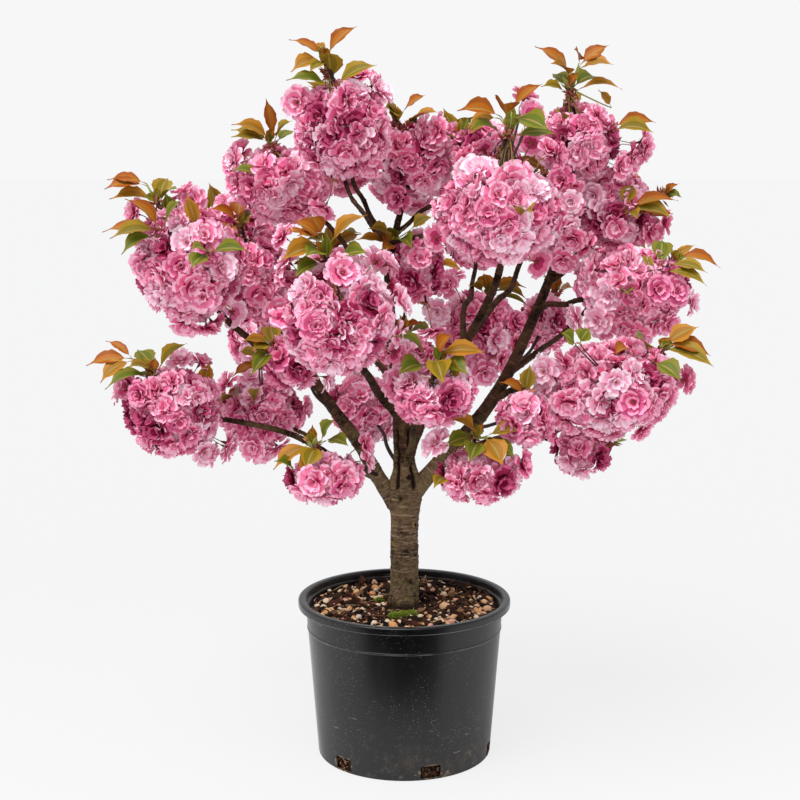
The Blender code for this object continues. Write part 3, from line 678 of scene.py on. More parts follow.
def make_roots():
    """Roots and straw on the mix, and root ends in the drain slots."""
    draw = random.Random("roots")
    growth = Growth()
    for x, y in soil_places(draw, ROOT_COUNT):
        length = draw.uniform(*ROOT_LENGTHS)
        turn = draw.uniform(0, math.tau)
        bend = draw.uniform(-1.2, 1.2)
        path = []
        for i in range(6):
            place = (x, y, soil_height(x, y) + 0.0016 + 0.003 * math.sin(math.pi * i / 5))
            path.append(place)
            x += math.cos(turn) * length / 5
            y += math.sin(turn) * length / 5
            turn += bend / 5
        if math.hypot(x, y) < SOIL_EDGE_RADIUS - 0.003:
            growth.tubes([path], draw.uniform(0.0004, 0.0009), 4, draw.choices((0, 1), ROOT_SHARES)[0])
    for colour, radius, start, end in STRAWS:
        growth.tubes([np.linspace(start, end, 4)], radius, 5, colour)
    for bearing in slot_bearings():
        for i in range(SLOT_ROOTS):
            turn = math.radians(bearing + draw.uniform(-SLOT_HALF_ANGLE, SLOT_HALF_ANGLE))
            height = draw.uniform(SLOT_BOTTOM + 0.001, SLOT_TOP + 0.001)
            path = []
            for k in range(4):
                out = POT_BASE_RADIUS - 0.0015 - 0.0015 * math.cos(math.pi * k / 3) + 0.0012 * (k == 2)
                path.append((out * math.cos(turn), out * math.sin(turn), height))
                turn += draw.uniform(-0.018, 0.018)
                height += draw.uniform(-0.003, 0.003)
            growth.tubes([path], 0.00035, 3, draw.choices((0, 1), ROOT_SHARES)[0])
    growth.piece("fine_roots", plain_materials(ROOT_COLOURS, 0.8, 0.1), "potting_mix")


def make_moss():
    """Low cushions of fine fronds, with painted shade on the cushion under them and at the feet of the
    fronds.
    """
    draw = random.Random("moss")
    growth = Growth()
    whole = sum(wide * deep for x, y, wide, deep in MOSS_CLUMPS)
    for x, y, wide, deep in MOSS_CLUMPS:
        ground = soil_height(x, y)
        rise = deep * 0.95
        verts, faces = lump(3, (wide * 0.96, deep * 0.96, rise), 3.0, 0.35)[:2]
        # The cushion under the fronds is painted shade
        growth.add(verts + (x, y, ground), faces, MOSS_SHADE)
        paths = []
        for i in range(round(MOSS_FRONDS * wide * deep / whole)):
            turn = draw.uniform(0, math.tau)
            out = math.sqrt(draw.random()) * (1 + 0.2 * noise.noise(Vector((turn * 2, wide * 99, 0))))
            lift = rise * math.sqrt(max(0.0, 1 - out * out)) * 0.9
            across, along = math.cos(turn) * out, math.sin(turn) * out
            foot = Vector((x + across * wide, y + along * deep, ground + lift))
            lean = Vector((across, along, 1.0 - out * 0.5)).normalized()
            lean += Vector([draw.uniform(-0.5, 0.5) for axis in range(3)])
            paths.append((foot, foot + lean * 0.0012, foot + lean * draw.uniform(0.0018, 0.0034)))
        verts, faces, each = strands(paths, (0.00045, 0.0006, 0.00008), 3)
        shades = np.repeat(draw.choices((0, 1, 2), MOSS_SHARES, k=len(paths)), each)
        # The lowest ring of faces of each frond is painted shade
        shades[np.arange(len(shades)) % each < 6] = MOSS_SHADE
        growth.add(verts, faces, shades)
    growth.piece("moss", plain_materials(MOSS_COLOURS, 0.8, 0.2), "moss")


make_soil()
make_chips()
make_stones()
make_perlite()
make_roots()
make_moss()

# Trunk and boughs
# A young grafted cherry that forks half way up. Its thin grey-brown bark is ringed with corky
# pores, and every bough swells into a collar where it leaves the limb that carries it.
TRUNK_PROFILE = (
    (0.000, 0.0275, 0.000),
    (0.010, 0.0255, 0.000),
    (0.030, 0.0238, 0.000),
    (0.090, 0.0232, 0.000),
    (0.160, 0.0228, 0.001),
    (0.195, 0.0240, 0.001),
    (0.215, 0.0235, 0.001),
    (0.240, 0.0186, 0.000),
)
TRUNK_FACE = 0.0240
LEADER_SWELL = 1.03
# The course of a limb, as the solids have it
LIMB_RINGS = 7
STEM_RINGS = 4
HANDLE = 0.36
WOBBLE = 0.0045
WOBBLE_RATE = 7.0
TAPER = 1.2
ENTRY = 0.92
# The finer mesh of the bark
TRUNK_RING = 0.0011
TRUNK_SUNK = 0.0130
TRUNK_SIDES = 84
BOUGH_RING = 0.0026
BOUGH_SIDES = 12
BARK_FACET = 0.0026
COLLAR_SWELL = 0.20
# The fork: the sides on which it is swollen, and how far the two main limbs start lower in it
FORK_BEARINGS = (180, 0)
FORK_SWELL = 0.0045
FORK_SINK = {"left_main": 0.0240, "right_main": 0.0125}
FORK_REACH = 0.110
# Clefts where the leader's own limbs have grown together, from the fork upwards
CLEFTS = (-124, -53, 30, 100, 170)
CLEFT_DEPTH = 0.0065
CLEFT_WIDTH = 0.17
CLEFT_START = (0.188, 0.212)
CLEFT_END = (0.325, 0.270)
# Knots on the trunk: bearing, height above the trunk's foot, and half their width
KNOTS = ((-48, 0.139, 0.0065), (-143, 0.106, 0.0055), (-80, 0.060, 0.0045), (-20, 0.035, 0.0040),
         (-120, 0.176, 0.0060), (60, 0.120, 0.0055), (140, 0.070, 0.0050), (-65, 0.190, 0.0050),
         (-80, 0.221, 0.0085))
OCHRE_KNOTS = KNOTS[:2]
HOLLOW_KNOTS = (KNOTS[0], KNOTS[8])
BARK_DARK_AND_SHADE = (0.012, 0.005, 0.002, 1)
BARK_BROWN = (0.066, 0.030, 0.015, 1)
BARK_GREY = (0.174, 0.116, 0.068, 1)
PORE_TAN = (0.360, 0.250, 0.140, 1)
LICHEN = (0.165, 0.135, 0.050, 1)
FOOT_CRUST = (0.300, 0.245, 0.140, 1)
PALE_RING = (0.480, 0.380, 0.260, 1)
PALE_RING_HEIGHTS = (0.3965, 0.3793, 0.3448, 0.3189)
KNOT_OCHRE = (0.330, 0.190, 0.055, 1)

# A mass: its middle, half its width, depth and height, the bearing and rise of its crest,
# how far the crest's shoot stands out, and its leaves
Mass = namedtuple("Mass", "middle half crest shoot leaves")
MASSES = {
    "left_high": Mass((-0.339, -0.120, 0.844), (0.096, 0.090, 0.105), (182, 62), 0.012, 7),
    "left_low": Mass((-0.376, -0.060, 0.598), (0.090, 0.080, 0.080), (180, 54), 0.012, 7),
    "left_shoulder": Mass((-0.202, 0.040, 0.962), (0.086, 0.075, 0.070), (175, 72), 0.016, 6),
    "crown_left": Mass((-0.097, -0.100, 1.050), (0.082, 0.080, 0.085), (190, 80), 0.028, 7),
    "crown_middle": Mass((0.022, 0.020, 1.005), (0.064, 0.070, 0.068), (180, 74), 0.014, 6),
    "front_right": Mass((0.135, -0.240, 0.927), (0.099, 0.090, 0.084), (20, 80), 0.030, 7),
    "crown_inner": Mass((0.132, -0.040, 1.016), (0.058, 0.060, 0.050), (40, 75), 0.014, 4),
    "crown_right": Mass((0.286, 0.040, 1.033), (0.074, 0.075, 0.070), (185, 85), 0.052, 7),
    "right_shoulder": Mass((0.355, 0.075, 0.918), (0.072, 0.065, 0.076), (0, 18), 0.012, 6),
    "right_high": Mass((0.381, -0.010, 0.795), (0.100, 0.080, 0.070), (0, 24), 0.010, 7),
    "right_low": Mass((0.327, -0.170, 0.658), (0.117, 0.090, 0.078), (5, 34), 0.010, 7),
    "right_hanging": Mass((0.285, -0.100, 0.540), (0.050, 0.048, 0.038), (0, 20), 0.004, 2),
    "right_inner": Mass((0.186, -0.200, 0.612), (0.042, 0.045, 0.044), (90, 70), 0.006, 3),
    "front_left": Mass((-0.099, -0.260, 0.773), (0.095, 0.085, 0.098), (170, 80), 0.010, 7),
    "left_inner": Mass((-0.178, -0.120, 0.688), (0.044, 0.045, 0.043), (200, 40), 0.004, 3),
    "front_middle": Mass((0.042, -0.230, 0.652), (0.068, 0.060, 0.048), (0, 85), 0.014, 7),
    "low_left": Mass((-0.122, -0.220, 0.527), (0.066, 0.060, 0.043), (180, 80), 0.012, 6),
    "low_right": Mass((0.112, -0.220, 0.528), (0.070, 0.060, 0.042), (0, 80), 0.012, 7),
    "inner_right": Mass((0.125, 0.170, 0.705), (0.080, 0.070, 0.078), (60, 80), 0.012, 4),
    "back_right_low": Mass((0.256, 0.250, 0.711), (0.050, 0.060, 0.055), (45, 60), 0.010, 4),
    "left_behind": Mass((-0.250, 0.060, 0.806), (0.058, 0.070, 0.080), (150, 80), 0.012, 5),
    "left_low_inner": Mass((-0.241, 0.040, 0.581), (0.071, 0.065, 0.058), (120, 70), 0.008, 4),
    "low_back_left": Mass((-0.074, 0.120, 0.580), (0.056, 0.060, 0.059), (120, 70), 0.008, 4),
    "inner_middle": Mass((0.022, -0.040, 0.834), (0.038, 0.040, 0.062), (90, 80), 0.006, 4),
    "right_behind": Mass((0.235, 0.170, 0.900), (0.080, 0.075, 0.080), (60, 75), 0.010, 4),
    "back_left_low": Mass((-0.265, 0.210, 0.682), (0.050, 0.060, 0.050), (140, 60), 0.010, 4),
    "back_left_high": Mass((-0.300, 0.250, 0.862), (0.080, 0.080, 0.080), (125, 25), 0.014, 6),
    "back_crown_left": Mass((-0.120, 0.230, 1.010), (0.082, 0.080, 0.080), (110, 75), 0.016, 6),
    "back_crown_right": Mass((0.085, 0.240, 1.000), (0.080, 0.080, 0.070), (85, 28), 0.016, 6),
    "back_right_high": Mass((0.375, 0.240, 0.785), (0.074, 0.075, 0.070), (40, 60), 0.014, 5),
    "back_middle_left": Mass((-0.120, 0.290, 0.770), (0.080, 0.075, 0.075), (105, 65), 0.012, 5),
    "back_middle_right": Mass((0.140, 0.320, 0.865), (0.070, 0.070, 0.065), (80, 60), 0.012, 5),
    "back_low": Mass((0.005, 0.250, 0.645), (0.056, 0.060, 0.045), (90, 65), 0.010, 4),
}

# A limb: what it grows from and how far along that, the bearing and rise with which it leaves
# and arrives, the mass that it goes to, and its radius at its foot and its tip. A bough is a
# node of its own and ends where it enters its mass. A stem is fused to its mass.
Limb = namedtuple("Limb", "parent share leave arrive mass foot tip")
BOUGHS = {
    "leader": Limb("trunk", 0.990, (175, 88), (20, 70), "crown_middle", 0.0180, 0.0044),
    "left_main": Limb("trunk", 0.735, (180, 44), (165, 56), "left_behind", 0.0140, 0.0058),
    "right_main": Limb("trunk", 0.790, (0, 42), (5, 84), "crown_right", 0.0145, 0.0056),
    "left_high": Limb("left_main", 0.630, (182, 36), (228, 52), "left_high", 0.0068, 0.0048),
    "left_low": Limb("left_main", 0.080, (184, 30), (188, 10), "left_low", 0.0066, 0.0042),
    "left_shoulder": Limb("leader", 0.420, (176, 55), (178, 40), "left_shoulder", 0.0055, 0.0036),
    "front_left": Limb("leader", 0.170, (185, 50), (256, 38), "front_left", 0.0078, 0.0050),
    "crown_left": Limb("leader", 0.820, (200, 55), (245, 66), "crown_left", 0.0045, 0.0035),
    "crown_inner": Limb("leader", 0.860, (-10, 30), (-30, 40), "crown_inner", 0.0040, 0.0030),
    "front_middle": Limb("trunk", 0.960, (-80, 45), (-82, 20), "front_middle", 0.0062, 0.0038),
    "centre_right": Limb("trunk", 0.975, (20, 74), (-100, 42), "front_right", 0.0100, 0.0054),
    "right_behind": Limb("centre_right", 0.560, (30, 42), (52, 52), "right_behind", 0.0056, 0.0042),
    "right_low": Limb("right_main", 0.100, (-10, 24), (-20, -18), "right_hanging", 0.0060, 0.0036),
    "right_spray": Limb("right_main", 0.345, (-10, 30), (-30, 0), "right_low", 0.0060, 0.0044),
    "right_high": Limb("right_main", 0.620, (-6, 44), (-4, 12), "right_high", 0.0055, 0.0042),
    "right_shoulder": Limb("right_main", 0.690, (30, 60), (30, 48), "right_shoulder", 0.0048, 0.0038),
    "inner_right": Limb("leader", 0.100, (50, 50), (58, 42), "inner_right", 0.0060, 0.0040),
    "back_middle_left": Limb("leader", 0.200, (110, 45), (112, 45), "back_middle_left", 0.0065, 0.0040),
    "back_left_high": Limb("left_main", 0.550, (150, 50), (125, 50), "back_left_high", 0.0055, 0.0040),
    "back_crown_left": Limb("leader", 0.790, (130, 45), (112, 45), "back_crown_left", 0.0046, 0.0036),
    "back_crown_right": Limb("leader", 0.620, (70, 45), (75, 60), "back_crown_right", 0.0050, 0.0038),
    "back_middle_right": Limb("centre_right", 0.500, (90, 75), (80, 45), "back_middle_right",
                              0.0050, 0.0038),
    "back_right_high": Limb("right_main", 0.430, (30, 28), (40, 35), "back_right_high", 0.0055, 0.0038),
    "left_spray": Limb("left_low", 0.420, (150, 30), (165, 25), "left_low_inner", 0.0042, 0.0032),
}
STEMS = {
    "left_inner": Limb("left_main", 0.500, (230, 20), (250, 20), "left_inner", 0.0032, 0.0024),
    "low_left": Limb("left_main", 0.150, (222, 12), (240, -5), "low_left", 0.0036, 0.0026),
    "low_right": Limb("right_low", 0.300, (-80, 30), (-85, -5), "low_right", 0.0032, 0.0026),
    "right_inner": Limb("right_main", 0.240, (-70, 25), (-75, 15), "right_inner", 0.0036, 0.0026),
    "low_back_left": Limb("trunk", 0.930, (130, 30), (125, 30), "low_back_left", 0.0040, 0.0028),
    "back_low": Limb("trunk", 0.900, (90, 40), (90, 30), "back_low", 0.0045, 0.0030),
    "inner_middle": Limb("leader", 0.480, (-40, 40), (-50, 60), "inner_middle", 0.0030, 0.0024),
    "back_left_low": Limb("left_main", 0.480, (120, 20), (125, 15), "back_left_low", 0.0036, 0.0026),
    "back_right_low": Limb("right_main", 0.360, (70, 20), (70, 25), "back_right_low", 0.0036, 0.0028),
}

Route = namedtuple("Route", "points radii first last")


def heading(bearing, rise):
    """The direction of a compass bearing from +X towards +Y, raised by a number of degrees."""
    flat = math.cos(math.radians(rise))
    turn = math.radians(bearing)
    return Vector((flat * math.cos(turn), flat * math.sin(turn), math.sin(math.radians(rise))))


def trunk_route():
    """The trunk's middle line, from its cut on the mix up to the fork."""
    ground = SOIL_MIDDLE_HEIGHT + GAP
    points = [Vector((lean, 0.0, ground + height)) for height, radius, lean in TRUNK_PROFILE]
    return Route(points, [radius for height, radius, lean in TRUNK_PROFILE],
                 Vector((0, 0, 1)), Vector((0, 0, 1)))


def along_route(route, share):
    """The point at a share of a route's length, from its foot to its tip."""
    lengths = [(b - a).length for a, b in zip(route.points, route.points[1:])]
    left = share * sum(lengths)
    for start, end, length in zip(route.points, route.points[1:], lengths):
        if left <= length:
            return start.lerp(end, left / length)
        left -= length
    return route.points[-1].copy()


def reach_of(half, direction):
    """How far an ellipsoid with these half sizes reaches in a direction."""
    return 1.0 / math.sqrt(sum((part / size) ** 2 for part, size in zip(direction, half)))


def limb_route(name, limb, foot, rings, inside):
    """A curve from the parent's middle to the edge of the mass, or to its middle for a stem."""
    mass = MASSES[limb.mass]
    first = heading(*limb.leave)
    last = heading(*limb.arrive)
    middle = Vector(mass.middle)
    tip = middle - last * ENTRY * reach_of(mass.half, last)
    pull = HANDLE * (tip - foot).length
    controls = (foot, foot + first * pull, tip - last * pull, tip)
    draw = random.Random("wood " + name)
    phases = [draw.uniform(0, math.tau) for axis in range(3)]
    points = []
    radii = []
    for i in range(rings):
        share = i / (rings - 1)
        away = 1 - share
        weights = (away ** 3, 3 * away * away * share, 3 * away * share * share, share ** 3)
        point = sum((control * weight for control, weight in zip(controls, weights)), Vector())
        sway = WOBBLE * (4 * share * away) ** 2
        point += Vector([sway * math.sin(WOBBLE_RATE * share + phase) for phase in phases])
        points.append(point)
        radii.append(limb.tip + (limb.foot - limb.tip) * away ** TAPER)
    if inside:
        points.append(middle)
        radii.append(limb.tip)
    return Route(points, radii, first, last)


def all_routes():
    """The limbs as the solids have them, each from a point on the one before."""
    routes = {"trunk": trunk_route()}
    for name, limb in BOUGHS.items():
        foot = along_route(routes[limb.parent], limb.share)
        routes[name] = limb_route(name, limb, foot, LIMB_RINGS, False)
    for name, limb in STEMS.items():
        foot = along_route(routes[limb.parent], limb.share)
        routes["stem_" + name] = limb_route(name, limb, foot, STEM_RINGS, True)
    return routes


def finer_trunk(route):
    """The trunk with a ring each millimetre, rounded between the rings of its solid."""
    heights = [point.z for point in route.points]
    foot = heights[0] - TRUNK_SUNK
    count = round((heights[-1] - foot) / TRUNK_RING)
    points = []
    radii = []
    for i in range(count + 1):
        height = foot + (heights[-1] - foot) * i / count
        lean = float(np.interp(height, heights, [point.x for point in route.points]))
        points.append(Vector((lean, 0.0, height)))
        radii.append(float(np.interp(height, heights, route.radii)))
    soft = np.convolve(np.pad(radii, 6, "edge"), np.ones(13) / 13, "valid")
    return Route(points, list(soft), route.first, route.last)


def collar(route, parent_radius, along, radius):
    """How much wider a bough is where it leaves its parent."""
    hidden = parent_radius * 1.15
    return 1 + COLLAR_SWELL * math.exp(-max(0.0, along - hidden) / (1.6 * radius))


def bark_relief(mark, radius):
    """How far the bark stands out at a mark, which is a place round and along the limb."""
    uneven = noise.noise(mark * 26) * 0.045 * radius + noise.noise(mark * 70) * 0.025 * radius
    banded = noise.noise(Vector((mark.x * 38, mark.y * 38, mark.z * 330)))
    fine = noise.noise(Vector((mark.x * 150, mark.y * 150, mark.z * 700)))
    return uneven + max(0.0, banded - 0.12) * 0.0024 + fine * 0.00028


def rising(value, low, high):
    """0 at low and 1 at high, or the other way round, with a smooth rise between."""
    share = min(max((value - low) / (high - low), 0.0), 1.0)
    return share * share * (3 - 2 * share)


def trunk_relief(mark, radius, height):
    """Ribs at the foot, the swelling under each fork, and a raised rim round each knot's hollow."""
    bearing_here = math.atan2(mark.y, mark.x)
    foot = rising(height, 0.034, -0.006)
    rise = foot * 0.0046 * noise.noise(Vector((mark.x * 60, mark.y * 60, height * 25)))
    rise += foot * 0.0022 * noise.noise(Vector((mark.x * 190, mark.y * 190, height * 160)))
    level = rising(height, 0.136, 0.180) * rising(height, 0.236, 0.205)
    for bearing in FORK_BEARINGS:
        aside = math.remainder(bearing_here - math.radians(bearing), math.tau)
        rise += FORK_SWELL * level * math.exp(-(aside / 0.87) ** 2)
    for bearing, level, size in KNOTS:
        aside = math.remainder(bearing_here - math.radians(bearing), math.tau) * radius
        away = math.hypot(aside / size, (height - level) / size / 0.8)
        if away < 3:
            rise += size * 0.42 * (math.exp(-away * away) - 0.85 * math.exp(-9 * away * away))
    return rise


def cleft_depth(mark, height):
    """How far the wood is drawn in where the leader's limbs have grown together."""
    turn = math.atan2(mark.y, mark.x) + 0.22 * noise.noise(Vector((height * 60, 0, 0)))
    uneven = 1 + 0.8 * noise.noise(Vector((0, height * 70, 3.0)))
    deep = CLEFT_DEPTH * rising(height, *CLEFT_START) * rising(height, *CLEFT_END) * uneven
    away = [math.remainder(turn - math.radians(bearing), math.tau) for bearing in CLEFTS]
    return deep * sum(math.exp(-(aside / CLEFT_WIDTH) ** 2) for aside in away)


def bark_tube(route, sides, swell, name):
    """Rings bridged along a limb and pushed out into bark, with each place marked for the finish."""
    bm = bmesh.new()
    marks = bm.verts.layers.float_vector.new("bark")
    grooves = bm.verts.layers.float.new("groove")
    side = route.first.orthogonal().normalized()
    along = 0.0
    before = []
    last = len(route.points) - 1
    for i, (point, radius) in enumerate(zip(route.points, route.radii)):
        ahead = route.points[min(i + 1, last)] - route.points[max(i - 1, 0)]
        ahead.normalize()
        side = (side - ahead * side.dot(ahead)).normalized()
        if i:
            along += (point - route.points[i - 1]).length
        matrix = Matrix((side, ahead.cross(side), ahead)).transposed().to_4x4()
        matrix.translation = point
        wide = radius * swell(along, radius)
        made = bmesh.ops.create_circle(bm, cap_ends=i in (0, last), segments=sides, radius=wide,
                                       matrix=matrix)
        for k, vert in enumerate(made["verts"]):
            turn = math.tau * k / sides
            mark = Vector((wide * math.cos(turn), wide * math.sin(turn), along))
            rise = bark_relief(mark, wide)
            if name == "trunk":
                rise += trunk_relief(vert.co - point, wide, point.z - SOIL_MIDDLE_HEIGHT)
            if name in ("trunk", "leader"):
                deep = cleft_depth(vert.co - point, point.z - SOIL_MIDDLE_HEIGHT)
                rise -= deep
                vert[grooves] = deep / CLEFT_DEPTH
            vert[marks] = mark
            vert.co += (vert.co - point).normalized() * rise
        ring = edges_of(made["verts"])
        if before:
            bmesh.ops.bridge_loops(bm, edges=before + ring)
        before = ring
    bmesh.ops.recalc_face_normals(bm, faces=bm.faces)
    return bm


def on_trunk(bearing, level):
    """A place on the trunk's face, at a height above the mix."""
    turn = math.radians(bearing)
    return TRUNK_FACE * math.cos(turn), TRUNK_FACE * math.sin(turn), SOIL_MIDDLE_HEIGHT + level


def cherry_bark():
    """Brown-grey bark with pale pores in rings and olive lichen, with painted shade in the clefts, in two
    knots' hollows and at the trunk's foot.
    """
    made, at = new_material("cherry_bark")
    mark = at.node("ShaderNodeAttribute", {"attribute_name": "bark"}, {}, "Vector")
    bands = mark.scaled(34, 34, 300).noise(1.0, 4.0, 0.6)
    patches = at.noise(38.0, 5.0, 0.65)
    rough = mark.scaled(160, 160, 420).noise(1.0, 3.0, 0.7)
    brown = patches.step(0.36, 0.62).mix(BARK_DARK_AND_SHADE, BARK_BROWN)
    height = at.axis("Z")
    old = height.step(0.58, 0.46)
    weathered = patches.step(0.62 - old * 0.30, 0.80 - old * 0.28) * rough.step(0.30, 0.60)
    grey = (weathered * (0.30 + old * 0.58)).mix(brown, BARK_GREY)
    pored = (bands.step(0.56, 0.66) * (0.15 + old * 0.50)).mix(grey, PORE_TAN)
    cracked = (bands.step(0.40, 0.33) * 0.7).mix(pored, BARK_DARK_AND_SHADE)
    low = height.step(0.36, 0.27) + height.step(0.40, 0.47) * height.step(0.62, 0.52) * 0.7
    mossy = (low * at.noise(52.0, 4.0, 0.7).step(0.46, 0.62) * 0.7).mix(cracked, LICHEN)
    crust = height.step(0.325, 0.285) * at.noise(170.0, 4.0, 0.7).step(0.50, 0.62)
    crusted = (crust * 0.5).mix(mossy, FOOT_CRUST)
    # Painted shadow at the very foot of the trunk, where it stands in the mix
    marked = (height.step(0.271, 0.256) * 0.8).mix(crusted, BARK_DARK_AND_SHADE)
    broken = at.noise(90.0, 2.0).step(0.46, 0.60)
    wavy = height + at.noise(28.0, 2.0) * 0.006 - 0.003
    for level in PALE_RING_HEIGHTS:
        ring = wavy.step(level - 0.0013, level - 0.0004) * wavy.step(level + 0.0013, level + 0.0004)
        marked = (ring * broken * 0.45).mix(marked, PALE_RING)
    uneven = at.noise(230.0, 4.0, 0.7) * 0.012 - 0.006
    for bearing, level, size in OCHRE_KNOTS:
        away = at.away(*on_trunk(bearing, level)) + uneven
        marked = (away.step(size * 0.95, size * 0.6) * 0.6).mix(marked, KNOT_OCHRE)
    # Painted shade in the hollows of two knots
    for bearing, level, size in HOLLOW_KNOTS:
        away = at.away(*on_trunk(bearing + 9, level)) + uneven
        marked = away.step(size * 0.75, size * 0.40).mix(marked, BARK_DARK_AND_SHADE)
    # Painted shade in the clefts where the leader's limbs have grown together, darkest where they are
    # deepest
    groove = at.node("ShaderNodeAttribute", {"attribute_name": "groove"}, {}, "Fac")
    marked = (groove.step(0.15, 0.60) * 0.95).mix(marked, BARK_DARK_AND_SHADE)
    relief = bands * 0.6 + rough * 0.4
    return set_shader(made, {
        "Base Color": marked,
        "Roughness": 0.62 + rough * 0.25,
        "Specular IOR Level": 0.12,
        "Normal": relief.bump(0.0014, 0.9),
    })


def make_wood(routes):
    """The trunk, then each bough with twice the sides where the bark is cleft, sunk into the fork."""
    bark = cherry_bark()
    trunk = bark_tube(finer_trunk(routes["trunk"]), TRUNK_SIDES, lambda along, radius: 1.0, "trunk")
    finished(as_object(trunk, "trunk_bark", [bark]), "bark", "trunk").data.shade_smooth()
    for name, limb in BOUGHS.items():
        coarse = routes[name]
        length = sum((b - a).length for a, b in zip(coarse.points, coarse.points[1:]))
        fine = limb_route(name, limb, coarse.points[0], round(length / BOUGH_RING), False)
        sink = FORK_SINK.get(name, 0.0)
        for i, point in enumerate(fine.points):
            point.z -= sink * max(0.0, 1 - i * BOUGH_RING / FORK_REACH)
        sides = max(BOUGH_SIDES, round(math.tau * (limb.foot + limb.tip) / 2 / BARK_FACET))
        parent = routes[limb.parent]
        parent_radius = float(np.interp(limb.share, np.linspace(0, 1, len(parent.radii)), parent.radii))
        if name == "leader":
            tube = bark_tube(fine, sides * 2, lambda along, radius: LEADER_SWELL, name)
        else:
            tube = bark_tube(fine, sides,
                             lambda along, radius: collar(fine, parent_radius, along, radius), name)
        made = as_object(tube, "bark_" + name, [bark])
        finished(made, "bark", "bough_" + name).data.shade_smooth()


ROUTES = all_routes()
make_wood(ROUTES)

# Twigs and flower stalks
# Each ball of blossom hangs on one bough or thin stem, which forks inside it into twigs. Every twig
# ends in a knuckle that carries four or five flowers on long olive stalks, each in a red calyx.
CAMERA_PLACE = (-0.0073, -2.5, 1.013)
# Flowers on the outside of a ball: how large and how close they sit, and how they hang
FLOWER_RADIUS = 0.0235
FLOWER_HEIGHT = 0.0150
FLOWER_SHARE = 1.36
FLOWER_FEWEST = 9
FLOWERS_PER_TWIG = 4.6
SPRAY_FLOWERS = 2.6
LUMPY = 0.085
DROOP = 0.30
FACE_LEVEL = 0.62
# Flowers inside it and in the mouth of an open ball, as shares of the ball's depth or number
INNER_DEPTH = 0.72
INNER_SHARE = 0.60
BED_DEPTH = 0.42
BED_FLOWERS = 7
BOWL_DEPTH = 0.80
BOWL_REACH = 62
CREST_OPEN = 12.0
# Where balls meet: each keeps to its own side, and their surfaces run into each other
OWN_SPACE = 0.97
JOINING = 4.5
JOIN_REACH = 1.45
JOIN_STEPS = 19
WOOD_CLEAR = 0.011
# The feet of the leaves, which come forward to the surface and stay free of flowers
ROOT_DEPTH = 0.84
ROOT_CLEAR = 0.0225
COVER_DEPTH = 0.014
FEET_REACH = 0.14
FEET_STEPS = 57
FEET_MOVED = 0.012
NEAR_SPUR = 0.060
# The calyx from its stalk to the tips of its lobes: radius, height and turn of each ring
CALYX_LENGTH = 0.0085
CALYX_LOBES = 5
CALYX_RINGS = ((0.0011, -CALYX_LENGTH, 0.0), (0.0032, 0.0, 0.0), (0.0098, 0.0008, 0.63))
# Stalks, twigs, spurs and shoots, with the scales and slips of their buds
STALK_RADIUS = 0.00085
STALK_POINTS = 5
NODE_DEPTH = 0.40
KNUCKLE_BELOW = 0.009
TWIG_POINTS = 6
TWIG_RADII = (0.0026, 0.0019)
SPUR_POINTS = 13
SPUR_RADIUS = 0.0043
SPUR_KNOBS = 0.18
BOUGH_END_TAPER = 0.85
SHOOT_RADIUS = 0.0011
SCALES = 34
SCALED_LENGTH = 0.038
SLIPS = 5
# Balls that stand open to show their stalks: bearing and rise of the opening, and its half angle
BOWLS = {
    "left_high": (-80, 14, 9),
    "left_shoulder": (-95, 62, 17),
    "crown_left": (-150, 72, 20),
    "crown_middle": (-95, 72, 17),
    "front_right": (-95, 74, 18),
    "crown_right": (-110, 70, 17),
    "front_left": (-92, 41, 19),
    "front_middle": (-98, 40, 36),
    "low_left": (-85, 78, 70),
    "low_right": (-85, 78, 68),
    "inner_middle": (-90, 75, 30),
}
# Sides on which a ball is flatter: the ball, the bearing and rise of the side, about how many
# degrees round it the flatness reaches, and the share of the ball's depth that is left there
FLATS = (
    ("left_low", 180, -42, 80, 0.68), ("left_low", 0, -45, 40, 0.86),
    ("left_high", 180, -42, 66, 0.82), ("left_high", 30, 58, 50, 0.72),
    ("left_behind", 180, -20, 60, 0.68), ("left_behind", 150, 80, 50, 0.68),
    ("front_left", -20, -50, 50, 0.80), ("left_low_inner", 180, -60, 50, 0.78),
    ("left_shoulder", 180, 0, 60, 0.80), ("left_shoulder", 180, -35, 60, 0.82),
    ("crown_left", 175, 40, 50, 0.78), ("crown_left", 20, 45, 45, 0.78),
    ("crown_middle", 0, 70, 50, 0.90), ("right_shoulder", 0, 10, 60, 0.80),
    ("right_high", 0, -40, 55, 0.82), ("right_high", 0, 30, 45, 0.74),
    ("right_low", 0, -50, 60, 0.82), ("low_left", 180, -80, 95, 0.50),
    ("low_left", 0, -20, 50, 0.84), ("low_right", 0, -80, 95, 0.46),
    ("low_right", 0, 0, 60, 0.62), ("low_right", 180, -30, 50, 0.84),
    ("right_hanging", 0, -90, 110, 0.22),
)
